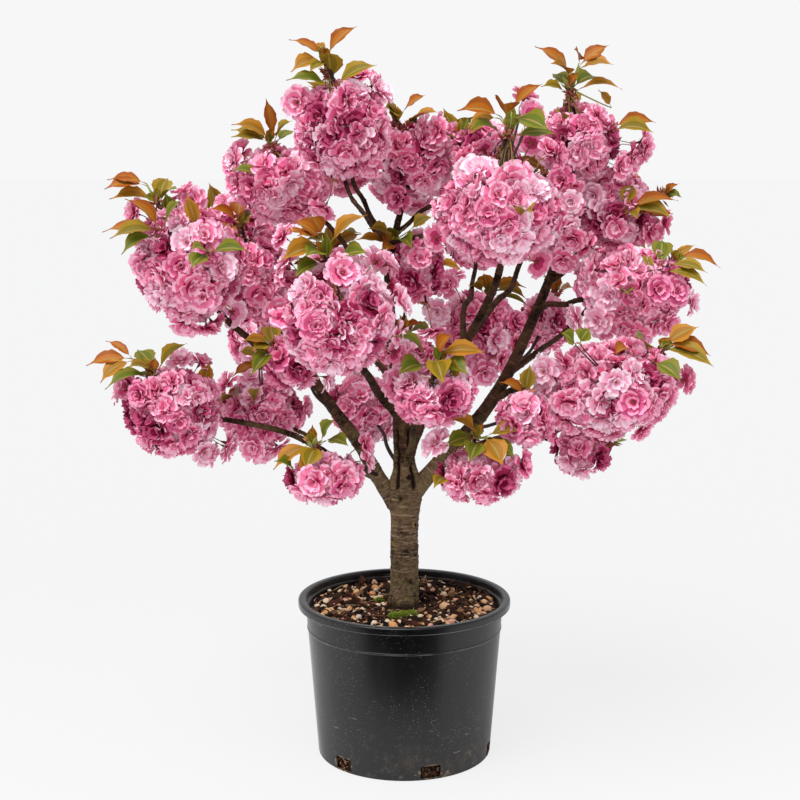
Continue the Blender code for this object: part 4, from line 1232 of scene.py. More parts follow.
# Sprays of one or two flowers that fill the hollows between the balls: middle and radius, in
# millimetres, as read off the photograph
SPRAYS = {
    "crown_left": ((-63, -85, 1123, 23), (-165, -100, 1092, 14), (-125, -90, 932, 13),
        (-81, -130, 1100, 15), (-42, -90, 1106, 14)),
    "left_shoulder": ((-270, 30, 1008, 21), (-191, 0, 1026, 15), (-280, 30, 995, 15),
        (-274, 30, 966, 13)),
    "left_high": ((-336, -100, 946, 19), (-416, -130, 921, 17), (-390, -160, 895, 14),
        (-313, -120, 744, 14), (-278, -60, 761, 13), (-344, -120, 752, 14), (-306, -100, 750, 14)),
    "crown_middle": ((-37, 30, 961, 20), (26, 30, 934, 20), (-52, -20, 1079, 14), (-48, 20, 988, 16),
        (-11, 0, 943, 15)),
    "front_right": ((48, -170, 886, 14), (185, -100, 1098, 15), (193, -120, 1073, 15),
        (90, -200, 1004, 15), (119, -190, 1019, 16), (225, -150, 1014, 18), (195, -120, 1029, 17),
        (201, -180, 850, 17)),
    "crown_inner": ((57, -30, 1051, 18), (33, -20, 1054, 14)),
    "crown_right": ((320, 30, 1081, 15), (374, 30, 1006, 20), (390, 20, 1021, 10), (263, 0, 966, 20),
        (347, 20, 990, 18), (266, -20, 933, 18), (255, -20, 904, 18), (274, -20, 878, 15),
        (265, 0, 846, 18), (388, 30, 1032, 13)),
    "right_shoulder": ((410, 50, 884, 17), (431, 60, 900, 13), (392, 50, 937, 17)),
    "inner_right": ((82, 110, 796, 21), (58, 120, 745, 16), (139, 120, 645, 21), (167, 120, 659, 16),
        (195, 140, 723, 16), (196, 140, 690, 16)),
    "right_high": ((317, -50, 743, 19), (382, -50, 729, 19), (283, -30, 749, 16), (428, -40, 743, 16),
        (467, -20, 772, 13), (407, -40, 743, 15), (360, -50, 738, 15), (301, 0, 864, 16)),
    "right_behind": ((305, 120, 857, 17), (273, 140, 880, 16)),
    "right_low": ((220, -170, 686, 19), (218, -170, 654, 16), (258, -150, 599, 16),
        (435, -160, 666, 14), (303, -140, 586, 17), (330, -140, 580, 14), (370, -160, 590, 13),
        (233, -150, 613, 14), (238, -150, 581, 13)),
    "left_low": ((-326, -60, 530, 18), (-293, -50, 538, 16), (-363, -50, 680, 15),
        (-334, -40, 674, 16), (-456, -70, 633, 13), (-447, -70, 642, 15), (-293, -50, 545, 13)),
    "left_low_inner": ((-247, 20, 521, 19), (-216, 30, 524, 14), (-296, 20, 632, 17),
        (-260, 30, 641, 15), (-172, 20, 591, 13)),
    "low_back_left": ((-56, 100, 536, 17), (-28, 100, 543, 14), (-35, 100, 557, 14)),
    "low_right": ((49, -220, 577, 11), (176, -220, 545, 11), (164, -220, 535, 12)),
    "front_left": ((-171, -260, 856, 13), (-10, -250, 796, 10), (-13, -250, 748, 10),
        (-27, -230, 851, 13), (-179, -240, 891, 12), (-176, -250, 846, 13), (-24, -220, 817, 14),
        (-16, -190, 713, 15), (-26, -170, 681, 15), (-169, -240, 826, 15), (-44, -200, 852, 14)),
    "low_left": ((-63, -200, 569, 12), (-60, -200, 547, 12)),
    "inner_middle": ((44, -60, 732, 13),),
    "left_behind": ((-209, 0, 755, 15),),
    "left_inner": ((-124, -100, 661, 16),),
    "front_middle": ((91, -220, 662, 15),),
}
TWIG_COLOURS = (
    ("twig_dark", (0.030, 0.014, 0.010, 1)),
    ("twig_brown", (0.075, 0.040, 0.026, 1)),
    ("stalk_olive", (0.280, 0.200, 0.050, 1)),
    ("stalk_green", (0.300, 0.330, 0.080, 1)),
    ("calyx_red", (0.220, 0.035, 0.030, 1)),
    ("bract_brown", (0.340, 0.130, 0.060, 1)),
    ("bract_rose", (0.480, 0.170, 0.130, 1)),
)
TWIG_DARK, TWIG_BROWN, STALK_OLIVE, STALK_GREEN, CALYX_RED = range(5)
# The leaves seen in the photograph: where each stalk starts and where the leaf ends, in
# millimetres from the tip of its spur, then its age and how broad it is
GREEN, OLIVE, BRONZE, ORANGE = range(4)
Leaf = namedtuple("Leaf", "root tip age breadth")
LEAVES_SEEN = {
    "left_high": (
        Leaf((-6, 0, 21), (-65, -15, 28), ORANGE, 0.95),
        Leaf((-6, 0, 18), (-67, -30, 14), ORANGE, 0.90),
        Leaf((10, 0, -6), (-60, -30, -1), BRONZE, 1.00),
        Leaf((10, 0, -9), (20, 45, 30), OLIVE, 1.00),
        Leaf((13, 0, -8), (49, -45, 15), GREEN, 0.80),
        Leaf((17, 0, -49), (49, -35, -2), GREEN, 1.15),
        Leaf((12, 0, -49), (-40, -10, -1), ORANGE, 0.85),
        Leaf((12, 0, -49), (-82, 20, -54), ORANGE, 0.80),
        Leaf((12, 0, -51), (-63, -20, -62), OLIVE, 1.00),
        Leaf((9, 0, -59), (-44, -30, -86), GREEN, 0.90),
        Leaf((98, -95, -81), (77, -130, -100), GREEN, 1.00),
        Leaf((98, -95, -79), (77, -125, -71), GREEN, 0.90),
        Leaf((101, -95, -78), (159, -105, -75), GREEN, 0.80),
    ),
    "left_behind": (
        Leaf((-14, 0, 1), (-64, -20, 27), ORANGE, 0.80),
        Leaf((-14, 0, 4), (-17, 50, 34), ORANGE, 1.00),
        Leaf((-9, 0, 1), (6, 40, 24), OLIVE, 0.80),
        Leaf((-11, 0, -2), (-53, -40, -29), BRONZE, 0.90),
        Leaf((-12, 0, -6), (-56, -30, -36), OLIVE, 0.80),
        Leaf((-11, 0, -4), (8, -40, 4), OLIVE, 0.70),
    ),
    "left_low": (
        Leaf((-8, 0, 9), (-55, 20, 37), ORANGE, 0.50),
        Leaf((-8, 0, 10), (-84, 0, -1), ORANGE, 0.95),
        Leaf((-6, 0, 7), (-56, -30, -25), BRONZE, 1.00),
        Leaf((24, 0, -8), (-8, 40, 20), GREEN, 1.10),
        Leaf((26, 0, -13), (-9, -45, 3), OLIVE, 1.10),
        Leaf((24, 0, -18), (-51, -20, -37), GREEN, 0.95),
        Leaf((32, 0, -9), (82, -10, 37), OLIVE, 1.00),
    ),
    "left_low_inner": (
        Leaf((-54, 0, -61), (-77, -30, -25), BRONZE, 1.05),
        Leaf((-54, 0, -61), (-25, -40, -32), OLIVE, 1.20),
        Leaf((-52, 0, -59), (-19, 20, -38), ORANGE, 0.80),
        Leaf((16, -60, 27), (-32, -80, 6), ORANGE, 0.70),
        Leaf((10, -60, 37), (-23, -60, 45), OLIVE, 0.70),
    ),
    "left_shoulder": (
        Leaf((9, 0, -11), (-54, -20, 15), BRONZE, 0.95),
        Leaf((7, 0, -14), (-54, -30, -5), OLIVE, 0.75),
        Leaf((9, 0, -13), (-59, 20, 7), OLIVE, 0.90),
        Leaf((11, 0, -6), (2, -10, 59), ORANGE, 0.65),
        Leaf((15, 0, -11), (46, -30, 21), OLIVE, 0.95),
        Leaf((19, 0, -13), (43, 40, 6), GREEN, 0.80),
    ),
    "crown_left": (
        Leaf((10, 0, -46), (74, -10, -14), OLIVE, 1.00),
        Leaf((1, 0, -46), (-66, -15, -37), GREEN, 0.95),
        Leaf((2, 0, -39), (-1, -45, 5), OLIVE, 1.20),
        Leaf((-3, 0, 1), (43, 0, 45), ORANGE, 0.85),
        Leaf((-8, 0, -1), (-62, 0, 25), ORANGE, 0.80),
        Leaf((-7, 0, -8), (-58, -20, -25), BRONZE, 1.05),
        Leaf((-5, 0, -11), (-29, -40, -27), OLIVE, 0.70),
        Leaf((-11, 0, 1), (-18, 20, 23), BRONZE, 0.50),
    ),
    "crown_middle": (
        Leaf((-12, 0, -19), (-34, -40, 4), OLIVE, 1.15),
        Leaf((-10, 0, -18), (-34, -25, 14), BRONZE, 0.90),
        Leaf((-2, 0, -3), (34, -20, 23), ORANGE, 0.90),
        Leaf((1, 0, -31), (57, -10, -4), BRONZE, 1.00),
        Leaf((3, 0, -29), (22, -30, -23), OLIVE, 0.60),
    ),
    "front_right": (
        Leaf((-11, 0, 25), (-78, -10, 35), ORANGE, 1.00),
        Leaf((-14, 0, 24), (-63, 20, 10), BRONZE, 0.85),
        Leaf((-11, 0, -1), (-63, -40, 9), GREEN, 0.95),
        Leaf((3, 0, 34), (47, -10, 74), ORANGE, 0.80),
        Leaf((-5, 0, 25), (-13, -50, 44), ORANGE, 1.20),
        Leaf((8, 0, -2), (67, -10, 1), GREEN, 0.85),
        Leaf((6, 0, 25), (54, -45, 6), GREEN, 1.20),
        Leaf((1, 0, 8), (2, 5, 50), GREEN, 0.50),
    ),
    "crown_inner": (
        Leaf((-51, 0, -40), (-43, 0, -7), GREEN, 0.50),
        Leaf((-54, 0, -40), (-58, -10, -15), BRONZE, 0.50),
        Leaf((-46, 0, -40), (-16, -20, -19), OLIVE, 0.80),
    ),
    "crown_right": (
        Leaf((-3, 0, -13), (-63, 0, 31), ORANGE, 1.00),
        Leaf((-3, 0, -19), (-40, -40, 2), BRONZE, 1.20),
        Leaf((11, 0, 0), (59, 10, 34), ORANGE, 0.85),
        Leaf((10, 0, -5), (63, -20, 1), BRONZE, 1.10),
        Leaf((10, 0, 5), (-2, -30, 25), ORANGE, 0.80),
        Leaf((-6, 0, -35), (-31, 30, -11), GREEN, 0.90),
        Leaf((2, 0, -34), (40, 40, -14), GREEN, 1.00),
        Leaf((6, 0, -40), (80, -10, -38), BRONZE, 0.90),
        Leaf((-11, 0, -42), (-54, -20, -34), OLIVE, 0.75),
        Leaf((64, 0, -67), (42, 0, -38), BRONZE, 0.60),
        Leaf((66, 0, -100), (138, 0, -91), ORANGE, 0.85),
        Leaf((66, 0, -105), (132, -20, -108), OLIVE, 0.95),
    ),
    "right_shoulder": (
        Leaf((-61, 0, -24), (25, 0, -9), ORANGE, 0.90),
        Leaf((-61, 0, -28), (14, -20, -39), OLIVE, 1.05),
        Leaf((-62, 0, -28), (-15, 30, -34), BRONZE, 0.60),
        Leaf((-66, 0, -21), (-45, 30, 18), OLIVE, 0.85),
        Leaf((-61, 0, -31), (-48, -40, -38), OLIVE, 0.80),
    ),
    "right_high": (
        Leaf((-55, 0, -8), (-46, 50, 35), GREEN, 1.10),
        Leaf((-37, 0, 2), (2, 10, 29), BRONZE, 0.50),
        Leaf((-35, 0, 7), (40, -10, -7), ORANGE, 0.90),
        Leaf((-43, 0, -3), (15, -30, -14), OLIVE, 1.05),
        Leaf((-50, 0, -15), (17, -20, -36), OLIVE, 0.90),
        Leaf((-69, 0, -15), (-83, 20, 13), OLIVE, 0.50),
    ),
    "right_low": (
        Leaf((-15, 0, 2), (38, 0, 30), BRONZE, 1.05),
        Leaf((-17, 0, 0), (56, -10, -15), ORANGE, 1.00),
        Leaf((-21, 0, -6), (57, -30, -29), OLIVE, 1.15),
        Leaf((-32, 0, -26), (6, -35, -50), GREEN, 1.10),
        Leaf((-40, 0, -9), (-67, -40, 20), GREEN, 1.20),
        Leaf((-68, 0, -5), (-97, -40, -9), ORANGE, 0.80),
        Leaf((-165, -110, 15), (-189, -130, 36), GREEN, 0.90),
        Leaf((-159, -110, 17), (-144, -110, 41), GREEN, 0.90),
    ),
    "front_left": (
        Leaf((-5, 0, 9), (-48, -10, 37), ORANGE, 0.95),
        Leaf((-4, 0, 15), (-21, -20, 45), ORANGE, 0.80),
        Leaf((-13, 0, 9), (-68, 30, 21), ORANGE, 0.60),
        Leaf((-10, 0, 9), (-38, -40, 17), ORANGE, 0.70),
        Leaf((0, 0, 0), (-64, -20, -21), BRONZE, 1.05),
        Leaf((1, 0, -15), (-27, -50, -13), GREEN, 1.20),
        Leaf((-2, 0, -24), (-44, -30, -44), GREEN, 0.90),
        Leaf((7, 0, 3), (63, -10, 46), BRONZE, 0.95),
        Leaf((17, 0, -22), (64, -30, -8), GREEN, 1.10),
        Leaf((3, 0, -24), (4, -20, 21), GREEN, 0.55),
    ),
    "inner_middle": (
        Leaf((-41, 0, -26), (-80, -30, -5), OLIVE, 1.10),
        Leaf((-49, 0, -31), (-100, -20, -23), BRONZE, 0.65),
        Leaf((-36, 0, -28), (-28, -50, -9), GREEN, 1.00),
        Leaf((-33, 0, -29), (-9, -40, -38), GREEN, 0.90),
        Leaf((-36, 0, -34), (-60, -40, -45), ORANGE, 0.70),
        Leaf((-12, 0, -8), (24, 0, 13), OLIVE, 0.90),
    ),
    "front_middle": (
        Leaf((-14, 0, -7), (-67, -20, 31), GREEN, 1.10),
        Leaf((-16, 0, -15), (-58, -35, -25), GREEN, 1.10),
        Leaf((-1, 0, 0), (24, -20, 34), ORANGE, 0.95),
        Leaf((1, 0, 0), (74, -10, 4), BRONZE, 0.95),
        Leaf((4, 0, -11), (47, -30, -26), GREEN, 1.15),
        Leaf((-3, 0, -7), (9, -50, -38), OLIVE, 1.20),
    ),
    "low_left": (
        Leaf((5, 0, 0), (26, -20, 36), GREEN, 0.90),
        Leaf((11, 0, -1), (47, -30, -4), GREEN, 0.95),
        Leaf((-10, 0, -6), (-68, -20, -42), BRONZE, 0.95),
        Leaf((-13, 0, -6), (-22, -30, -56), BRONZE, 0.65),
        Leaf((-2, 0, -9), (-18, -45, -38), OLIVE, 1.15),
    ),
    "low_right": (
        Leaf((-10, 0, 5), (-52, -20, 36), BRONZE, 1.10),
        Leaf((-13, 0, 3), (-61, -20, -7), GREEN, 1.00),
        Leaf((-8, 0, -3), (-24, -40, -27), GREEN, 1.10),
        Leaf((-1, 0, 5), (26, -40, -33), BRONZE, 1.25),
        Leaf((9, 0, 5), (47, 0, -28), GREEN, 0.70),
        Leaf((5, 0, 7), (56, 0, 14), OLIVE, 0.95),
    ),
    "inner_right": (
        Leaf((14, 0, -22), (6, -30, 14), BRONZE, 0.90),
        Leaf((17, 0, -20), (83, 0, -14), BRONZE, 0.90),
        Leaf((17, 0, -23), (88, 20, -38), OLIVE, 0.90),
        Leaf((17, 0, -29), (92, -20, -50), GREEN, 0.80),
        Leaf((8, 0, -23), (-18, -30, -10), OLIVE, 0.90),
        Leaf((-48, 0, -39), (-75, -20, -9), OLIVE, 0.80),
    ),
}

Blooms = namedtuple("Blooms", "places facings sizes nodes inner inner_facings")


def segments_of(names):
    """The runs of these limbs as arrays: where each starts and ends, and its thickness."""
    starts = []
    ends = []
    radii = []
    for name in names:
        route = ROUTES[name]
        starts += route.points[:-1]
        ends += route.points[1:]
        radii += route.radii[:-1]
    return np.array(starts), np.array(ends), np.array(radii)


def wood_gap(points, names):
    """How far each point is from the nearest of these limbs' bark."""
    starts, ends, radii = segments_of(names)
    run = ends - starts
    away = points[:, None] - starts
    share = np.clip((away * run).sum(-1) / np.maximum((run * run).sum(-1), 1e-12), 0, 1)
    return (np.linalg.norm(away - run * share[..., None], axis=-1) - radii).min(axis=1)


def space_share(mass, points):
    """0 at a mass's middle and 1 at its edge."""
    return np.linalg.norm((points - np.array(mass.middle)) / np.array(mass.half), axis=-1)


def in_own_space(name, points, margin):
    """Which points belong to this mass more than to any other."""
    own = space_share(MASSES[name], points) * margin
    others = [space_share(mass, points) for key, mass in MASSES.items() if key != name]
    return own <= np.min(others, axis=0)


def surface_of(half):
    """The surface of an ellipsoid, to about a hundredth, by the usual short formula."""
    power = 1.6075
    sides = ((half[0] * half[1]) ** power, (half[0] * half[2]) ** power, (half[1] * half[2]) ** power)
    return 4 * math.pi * (sum(sides) / 3) ** (1 / power)


def spread(count, spin):
    """Directions spread evenly round a ball, by the golden angle."""
    order = np.arange(count)
    level = 1 - (2 * order + 1) / count
    turn = spin + order * math.pi * (3 - math.sqrt(5))
    flat = np.sqrt(1 - level * level)
    return np.stack((flat * np.cos(turn), flat * np.sin(turn), level), axis=1)


def turned_from(out, bearing, rise):
    """The angle in degrees between each direction and a heading."""
    return np.degrees(np.arccos(np.clip(out @ np.array(heading(bearing, rise)), -1, 1)))


def own_wood(name):
    """The limb that carries this mass: its stem, or else the bough that goes to it."""
    if name in STEMS:
        return "stem_" + name
    return next(key for key, limb in BOUGHS.items() if limb.mass == name)


def other_wood(name):
    """Every limb but the one that carries this mass."""
    return [key for key in ROUTES if key != own_wood(name)]


def crest_of(name):
    """The direction in which a mass's spur and its rosette point."""
    return np.array(heading(*MASSES[name].crest))


def array_draws(kind, name):
    """Random numbers for whole arrays, the same each run for this kind and mass."""
    return np.random.default_rng(random.Random(kind + " " + name).randrange(1 << 30))


def as_seen(points):
    """Places as they are seen from the front: across and up at the trunk's distance, and how far."""
    away = points - np.array(CAMERA_PLACE)
    return away[:, (0, 2)] / away[:, 1:2] * -CAMERA_PLACE[1], away[:, 1]


def hides(places, feet):
    """Which flowers would cover the foot of a leaf that shows."""
    seen, far = as_seen(places)
    seen_feet, far_feet = as_seen(feet)
    near = np.linalg.norm(seen[:, None] - seen_feet, axis=-1) < ROOT_CLEAR
    return (near & (far[:, None] < far_feet + COVER_DEPTH)).any(axis=1)


def joined_depth(name, out):
    """How deep the surface lies in each direction, where balls that touch run into each other."""
    mass = MASSES[name]
    depths = np.linspace(1, JOIN_REACH, JOIN_STEPS)
    points = np.array(mass.middle) + (out * np.array(mass.half))[:, None] * depths[:, None]
    filled = sum(np.exp(-JOINING * (space_share(other, points) - 1)) for other in MASSES.values())
    return depths[np.argmax(filled < 1, axis=1)]


def shell_of(name, spin, chance):
    """Directions, depths and groups of a ball's flowers, four or five to a twig."""
    mass = MASSES[name]
    share = FLOWER_SHARE * surface_of(mass.half) / (math.pi * FLOWER_RADIUS ** 2)
    count = max(FLOWER_FEWEST, round(share))
    out = unit(spread(count, spin) + chance.normal(0, 0.09, (count, 3)))
    groups = spread(max(4, round(count / FLOWERS_PER_TWIG)), spin + 1.3)
    owner = (out @ groups.T).argmax(axis=1)
    apart = np.linalg.norm(out - groups[owner], axis=1)
    bulge = chance.uniform(-0.12, 0.08, len(groups))
    depth = joined_depth(name, out) + bulge[owner] - 0.75 * apart ** 2
    depth -= chance.uniform(-0.01, 0.14, count)
    depth += LUMPY * np.array([noise.noise(Vector(way) * 1.7 + Vector((spin * 9, 0, 0))) for way in out])
    for bearing, rise, width, flat in [side[1:] for side in FLATS if side[0] == name]:
        side = np.clip(1.3 - turned_from(out, bearing, rise) / width, 0, 1)
        depth *= 1 - (1 - flat) * side * side * (3 - 2 * side)
    return out, depth, groups, owner


def blooms_of(name):
    """Where each flower of a mass sits, which way it faces, and the knuckle that carries it."""
    mass = MASSES[name]
    middle = np.array(mass.middle)
    half = np.array(mass.half)
    chance = array_draws("flowers", name)
    spin = random.Random("blossom " + name).uniform(0, math.tau)
    out, depth, groups, owner = shell_of(name, spin, chance)
    count = len(out)
    sizes = chance.uniform(0.92, 1.16, count)
    normal = unit(out / half)
    places = middle + out * half * depth[:, None] - normal * (FLOWER_HEIGHT * sizes)[:, None]
    hang = DROOP * (1.2 - normal[:, 2:])
    facings = unit(normal + 2.1 * (out - groups[owner]) + chance.normal(0, 0.40, (count, 3))
                   - (0, 0, 1) * hang)
    facings = unit(facings * (1, 1, FACE_LEVEL))
    bearing, rise, width = BOWLS.get(name, (*mass.crest, CREST_OPEN))
    bare = (turned_from(out, bearing, rise) < width) | (turned_from(out, *mass.crest) < CREST_OPEN)
    keep = ~bare & in_own_space(name, places, OWN_SPACE) & ~hides(places, LEAF_FEET)
    keep &= wood_gap(places, other_wood(name)) > WOOD_CLEAR
    nodes = knuckles(name, groups)[owner]
    inner_out = spread(round(count * INNER_SHARE), spin + 0.7)
    inner = middle + inner_out * half * INNER_DEPTH
    inner_facings = unit(inner_out / half + chance.normal(0, 0.35, inner_out.shape))
    hidden = turned_from(inner_out, bearing, rise) > width * 1.1
    hidden &= in_own_space(name, inner, 1.0) & (wood_gap(inner, other_wood(name)) > WOOD_CLEAR)
    inner = inner[hidden]
    inner_facings = inner_facings[hidden]
    if name in BOWLS:
        opening = np.array(heading(bearing, rise))
        bed = unit(opening + chance.normal(0, 0.55, (BED_FLOWERS, 3)))
        inner = np.concatenate((inner, middle + bed * half * BED_DEPTH))
        inner_facings = np.concatenate((inner_facings, unit(opening + 0.4 * bed)))
    shell = Blooms(places[keep], facings[keep], sizes[keep], nodes[keep], inner, inner_facings)
    return with_sprays(shell, name, chance)


def with_sprays(blooms, name, chance):
    """The same ball with the flowers of its small outlying sprays."""
    places = [blooms.places]
    facings = [blooms.facings]
    nodes = [blooms.nodes]
    middle = np.array(MASSES[name].middle)
    for spray in SPRAYS.get(name, ()):
        spot = np.array(spray[:3]) / 1000
        radius = spray[3] / 1000
        count = max(1, round(SPRAY_FLOWERS * (radius / FLOWER_RADIUS) ** 2))
        out = spread(count, chance.uniform(0, math.tau)) if count > 1 else np.zeros((1, 3))
        place = spot + out * max(radius - 0.010, 0.004)
        away = unit(spot - middle)
        facing = unit(0.8 * out + away + (0, -0.35, 0) + chance.normal(0, 0.3, (count, 3)))
        facing = unit(facing * (1, 1, FACE_LEVEL))
        places.append(place)
        facings.append(facing)
        node = spot - away * min(0.045, np.linalg.norm(spot - middle) / 2)
        nodes.append(np.broadcast_to(node, (count, 3)))
    places = np.concatenate(places)
    sizes = np.concatenate((blooms.sizes, chance.uniform(0.88, 1.04, len(places) - len(blooms.sizes))))
    shown = ~hides(places, LEAF_FEET)
    return blooms._replace(places=places[shown], facings=np.concatenate(facings)[shown],
                           nodes=np.concatenate(nodes)[shown], sizes=sizes[shown])


def bowl_node(name):
    """The knuckle that shows in the mouth of an open ball."""
    bearing, rise, width = BOWLS[name]
    mass = MASSES[name]
    if rise > 50 and name != "inner_middle":
        return spur_end(name) - crest_of(name) * KNUCKLE_BELOW
    opening = heading(bearing, rise)
    return np.array(Vector(mass.middle) + opening * reach_of(mass.half, opening) * BOWL_DEPTH)


def knuckles(name, groups):
    """Where each group's stalks meet: high on the spur near the crest, and deep elsewhere."""
    mass = MASSES[name]
    crest = crest_of(name)
    half = np.array(mass.half)
    reach = reach_of(mass.half, crest)
    lean = np.degrees(np.arccos(np.clip(groups @ crest, -1, 1)))
    on_spur = crest * (reach * np.clip(1.02 - lean / 125, 0.30, 0.92))[:, None]
    deep = groups * half * NODE_DEPTH + crest * reach * 0.10
    spots = np.array(mass.middle) + np.where(lean[:, None] < 78, on_spur, deep)
    if name in BOWLS:
        bearing, rise, width = BOWLS[name]
        spots[turned_from(groups, bearing, rise) < BOWL_REACH] = bowl_node(name)
    return spots


def bezier(starts, first, last, ends, points):
    """Curves from starts to ends, pulled to the two handles, as (n, points, 3)."""
    share = np.linspace(0, 1, points)[:, None]
    away = 1 - share
    return (starts[:, None] * away ** 3 + first[:, None] * 3 * away ** 2 * share
            + last[:, None] * 3 * away * share ** 2 + ends[:, None] * share ** 3)


def calyx():
    """A red funnel with five narrow lobes laid back under the petals."""
    turn = math.tau * np.arange(CALYX_LOBES) / CALYX_LOBES
    rings = [np.stack((np.cos(turn + shift) * radius, np.sin(turn + shift) * radius,
                       np.full(CALYX_LOBES, height)), axis=1) for radius, height, shift in CALYX_RINGS]
    faces = []
    for k in range(CALYX_LOBES):
        after = (k + 1) % CALYX_LOBES
        rim = CALYX_LOBES + k
        rim_after = CALYX_LOBES + after
        faces += [(k, after, rim_after), (k, rim_after, rim), (rim, rim_after, rim + CALYX_LOBES)]
    return np.concatenate(rings), np.array(faces), np.full(len(faces), CALYX_RED)


def bract():
    """A small scale, cupped round the bud that it covered."""
    verts = np.array(((-0.0015, 0, 0), (0.0015, 0, 0), (-0.0024, 0.0012, 0.0050),
                      (0.0024, 0.0012, 0.0050), (0, 0.0010, 0.0115), (0, -0.0009, 0.0045)))
    faces = np.array(((0, 1, 5), (0, 5, 2), (1, 3, 5), (2, 5, 4), (5, 3, 4)))
    return verts, faces, np.full(len(faces), CALYX_RED)


def wobbled(paths, chance, size):
    """The same paths with their middles moved a little off line."""
    sway = np.sin(np.linspace(0, math.pi, paths.shape[1]))[:, None]
    return paths + sway * chance.normal(0, size, (len(paths), 1, 3))


def spur_tip_of(mass):
    """Where the shoot of the solid's rosette ends, from which the leaves were measured."""
    crest = heading(*mass.crest)
    return Vector(mass.middle) + crest * (reach_of(mass.half, crest) + mass.shoot)


def leaf_roots(name):
    """Where the measured leaves start, and which of them stand on the spur itself.

    A leaf that shows on the front of a ball starts just under its flowers, straight before the
    place where it was measured.
    """
    mass = MASSES[name]
    tip = np.array(spur_tip_of(mass))
    measured = np.array([leaf.root for leaf in LEAVES_SEEN.get(name, ())]).reshape(-1, 3) / 1000
    crest = crest_of(name)
    aside = np.linalg.norm(measured - (measured @ crest)[:, None] * crest, axis=1)
    steps = np.linspace(0, FEET_REACH, FEET_STEPS)
    ways = unit(np.array(CAMERA_PLACE) - tip - measured)
    paths = tip + measured[:, None] + ways[:, None] * steps[:, None]
    inside = space_share(mass, paths) < ROOT_DEPTH
    last = np.where(inside.any(axis=1), FEET_STEPS - 1 - inside[:, ::-1].argmax(axis=1), 0)
    moved = steps[last]
    return tip + measured + ways * moved[:, None], (aside < NEAR_SPUR) & (moved < FEET_MOVED)


def spur_end(name):
    """The top of the woody spur: under the lower leaves of its rosette."""
    tip = np.array(spur_tip_of(MASSES[name]))
    roots, near = leaf_roots(name)
    if not near.any():
        return tip
    low = np.argsort(roots[near] @ crest_of(name))[int(0.3 * near.sum())]
    return roots[near][low]


def make_twigs(name, blooms, growth):
    """The wood inside a ball: its stem or the bough's end, the spur, and a twig to each knuckle."""
    mass = MASSES[name]
    middle = np.array(mass.middle)
    chance = array_draws("twigs", name)
    crest = crest_of(name)
    route = ROUTES[own_wood(name)]
    if name in STEMS:
        stem = limb_route(name, STEMS[name], route.points[0], 16, True)
        arrive = stem.radii[-1]
        growth.tubes([stem.points], [stem.radii], 7, TWIG_DARK)
    else:
        start = np.array(route.points[-1] - route.last * 0.004)
        pull = np.array(route.last) * 0.35 * np.linalg.norm(middle - start)
        path = bezier(start[None], (start + pull)[None], (middle - crest * 0.01)[None], middle[None], 10)
        arrive = route.radii[-1] * BOUGH_END_TAPER
        growth.tubes(path, np.linspace(route.radii[-1], arrive, 10), 8, TWIG_DARK)
    end = spur_end(name)
    stops = np.array((middle, bowl_node(name), end) if name in BOWLS else (middle, end))
    share = np.linspace(0, len(stops) - 1, SPUR_POINTS)
    path = np.stack([np.interp(share, np.arange(len(stops)), stops[:, axis]) for axis in range(3)], 1)
    path = wobbled(path[None], chance, 0.003)
    knobs = 1 + SPUR_KNOBS * np.sin(np.arange(SPUR_POINTS) * 2.4)
    knobs += chance.uniform(-0.06, 0.06, SPUR_POINTS)
    girth = np.linspace(max(arrive, SPUR_RADIUS), SPUR_RADIUS * 0.80, SPUR_POINTS)
    growth.tubes(path, girth * knobs, 8, TWIG_DARK)
    nodes = np.unique(blooms.nodes, axis=0)
    axis_share = np.clip((nodes - middle) @ crest / np.linalg.norm(end - middle), 0, 1)
    off_axis = np.linalg.norm(nodes - middle - axis_share[:, None] * (end - middle), axis=1) > 0.006
    if off_axis.any():
        ends = nodes[off_axis]
        starts = middle + crest * chance.uniform(-0.2, 0.35, (len(ends), 1)) * reach_of(mass.half, crest)
        bend = starts + crest * 0.3 * np.linalg.norm(ends - starts, axis=1)[:, None]
        paths = bezier(starts, bend, ends * 0.5 + bend * 0.5, ends, TWIG_POINTS)
        paths = wobbled(paths, chance, 0.002)
        colours = chance.integers(TWIG_DARK, TWIG_BROWN + 1, len(ends))
        growth.tubes(paths, np.linspace(*TWIG_RADII, TWIG_POINTS), 5, colours)
    make_shoots(name, end, chance, growth)
    make_stalks(blooms, chance, growth)


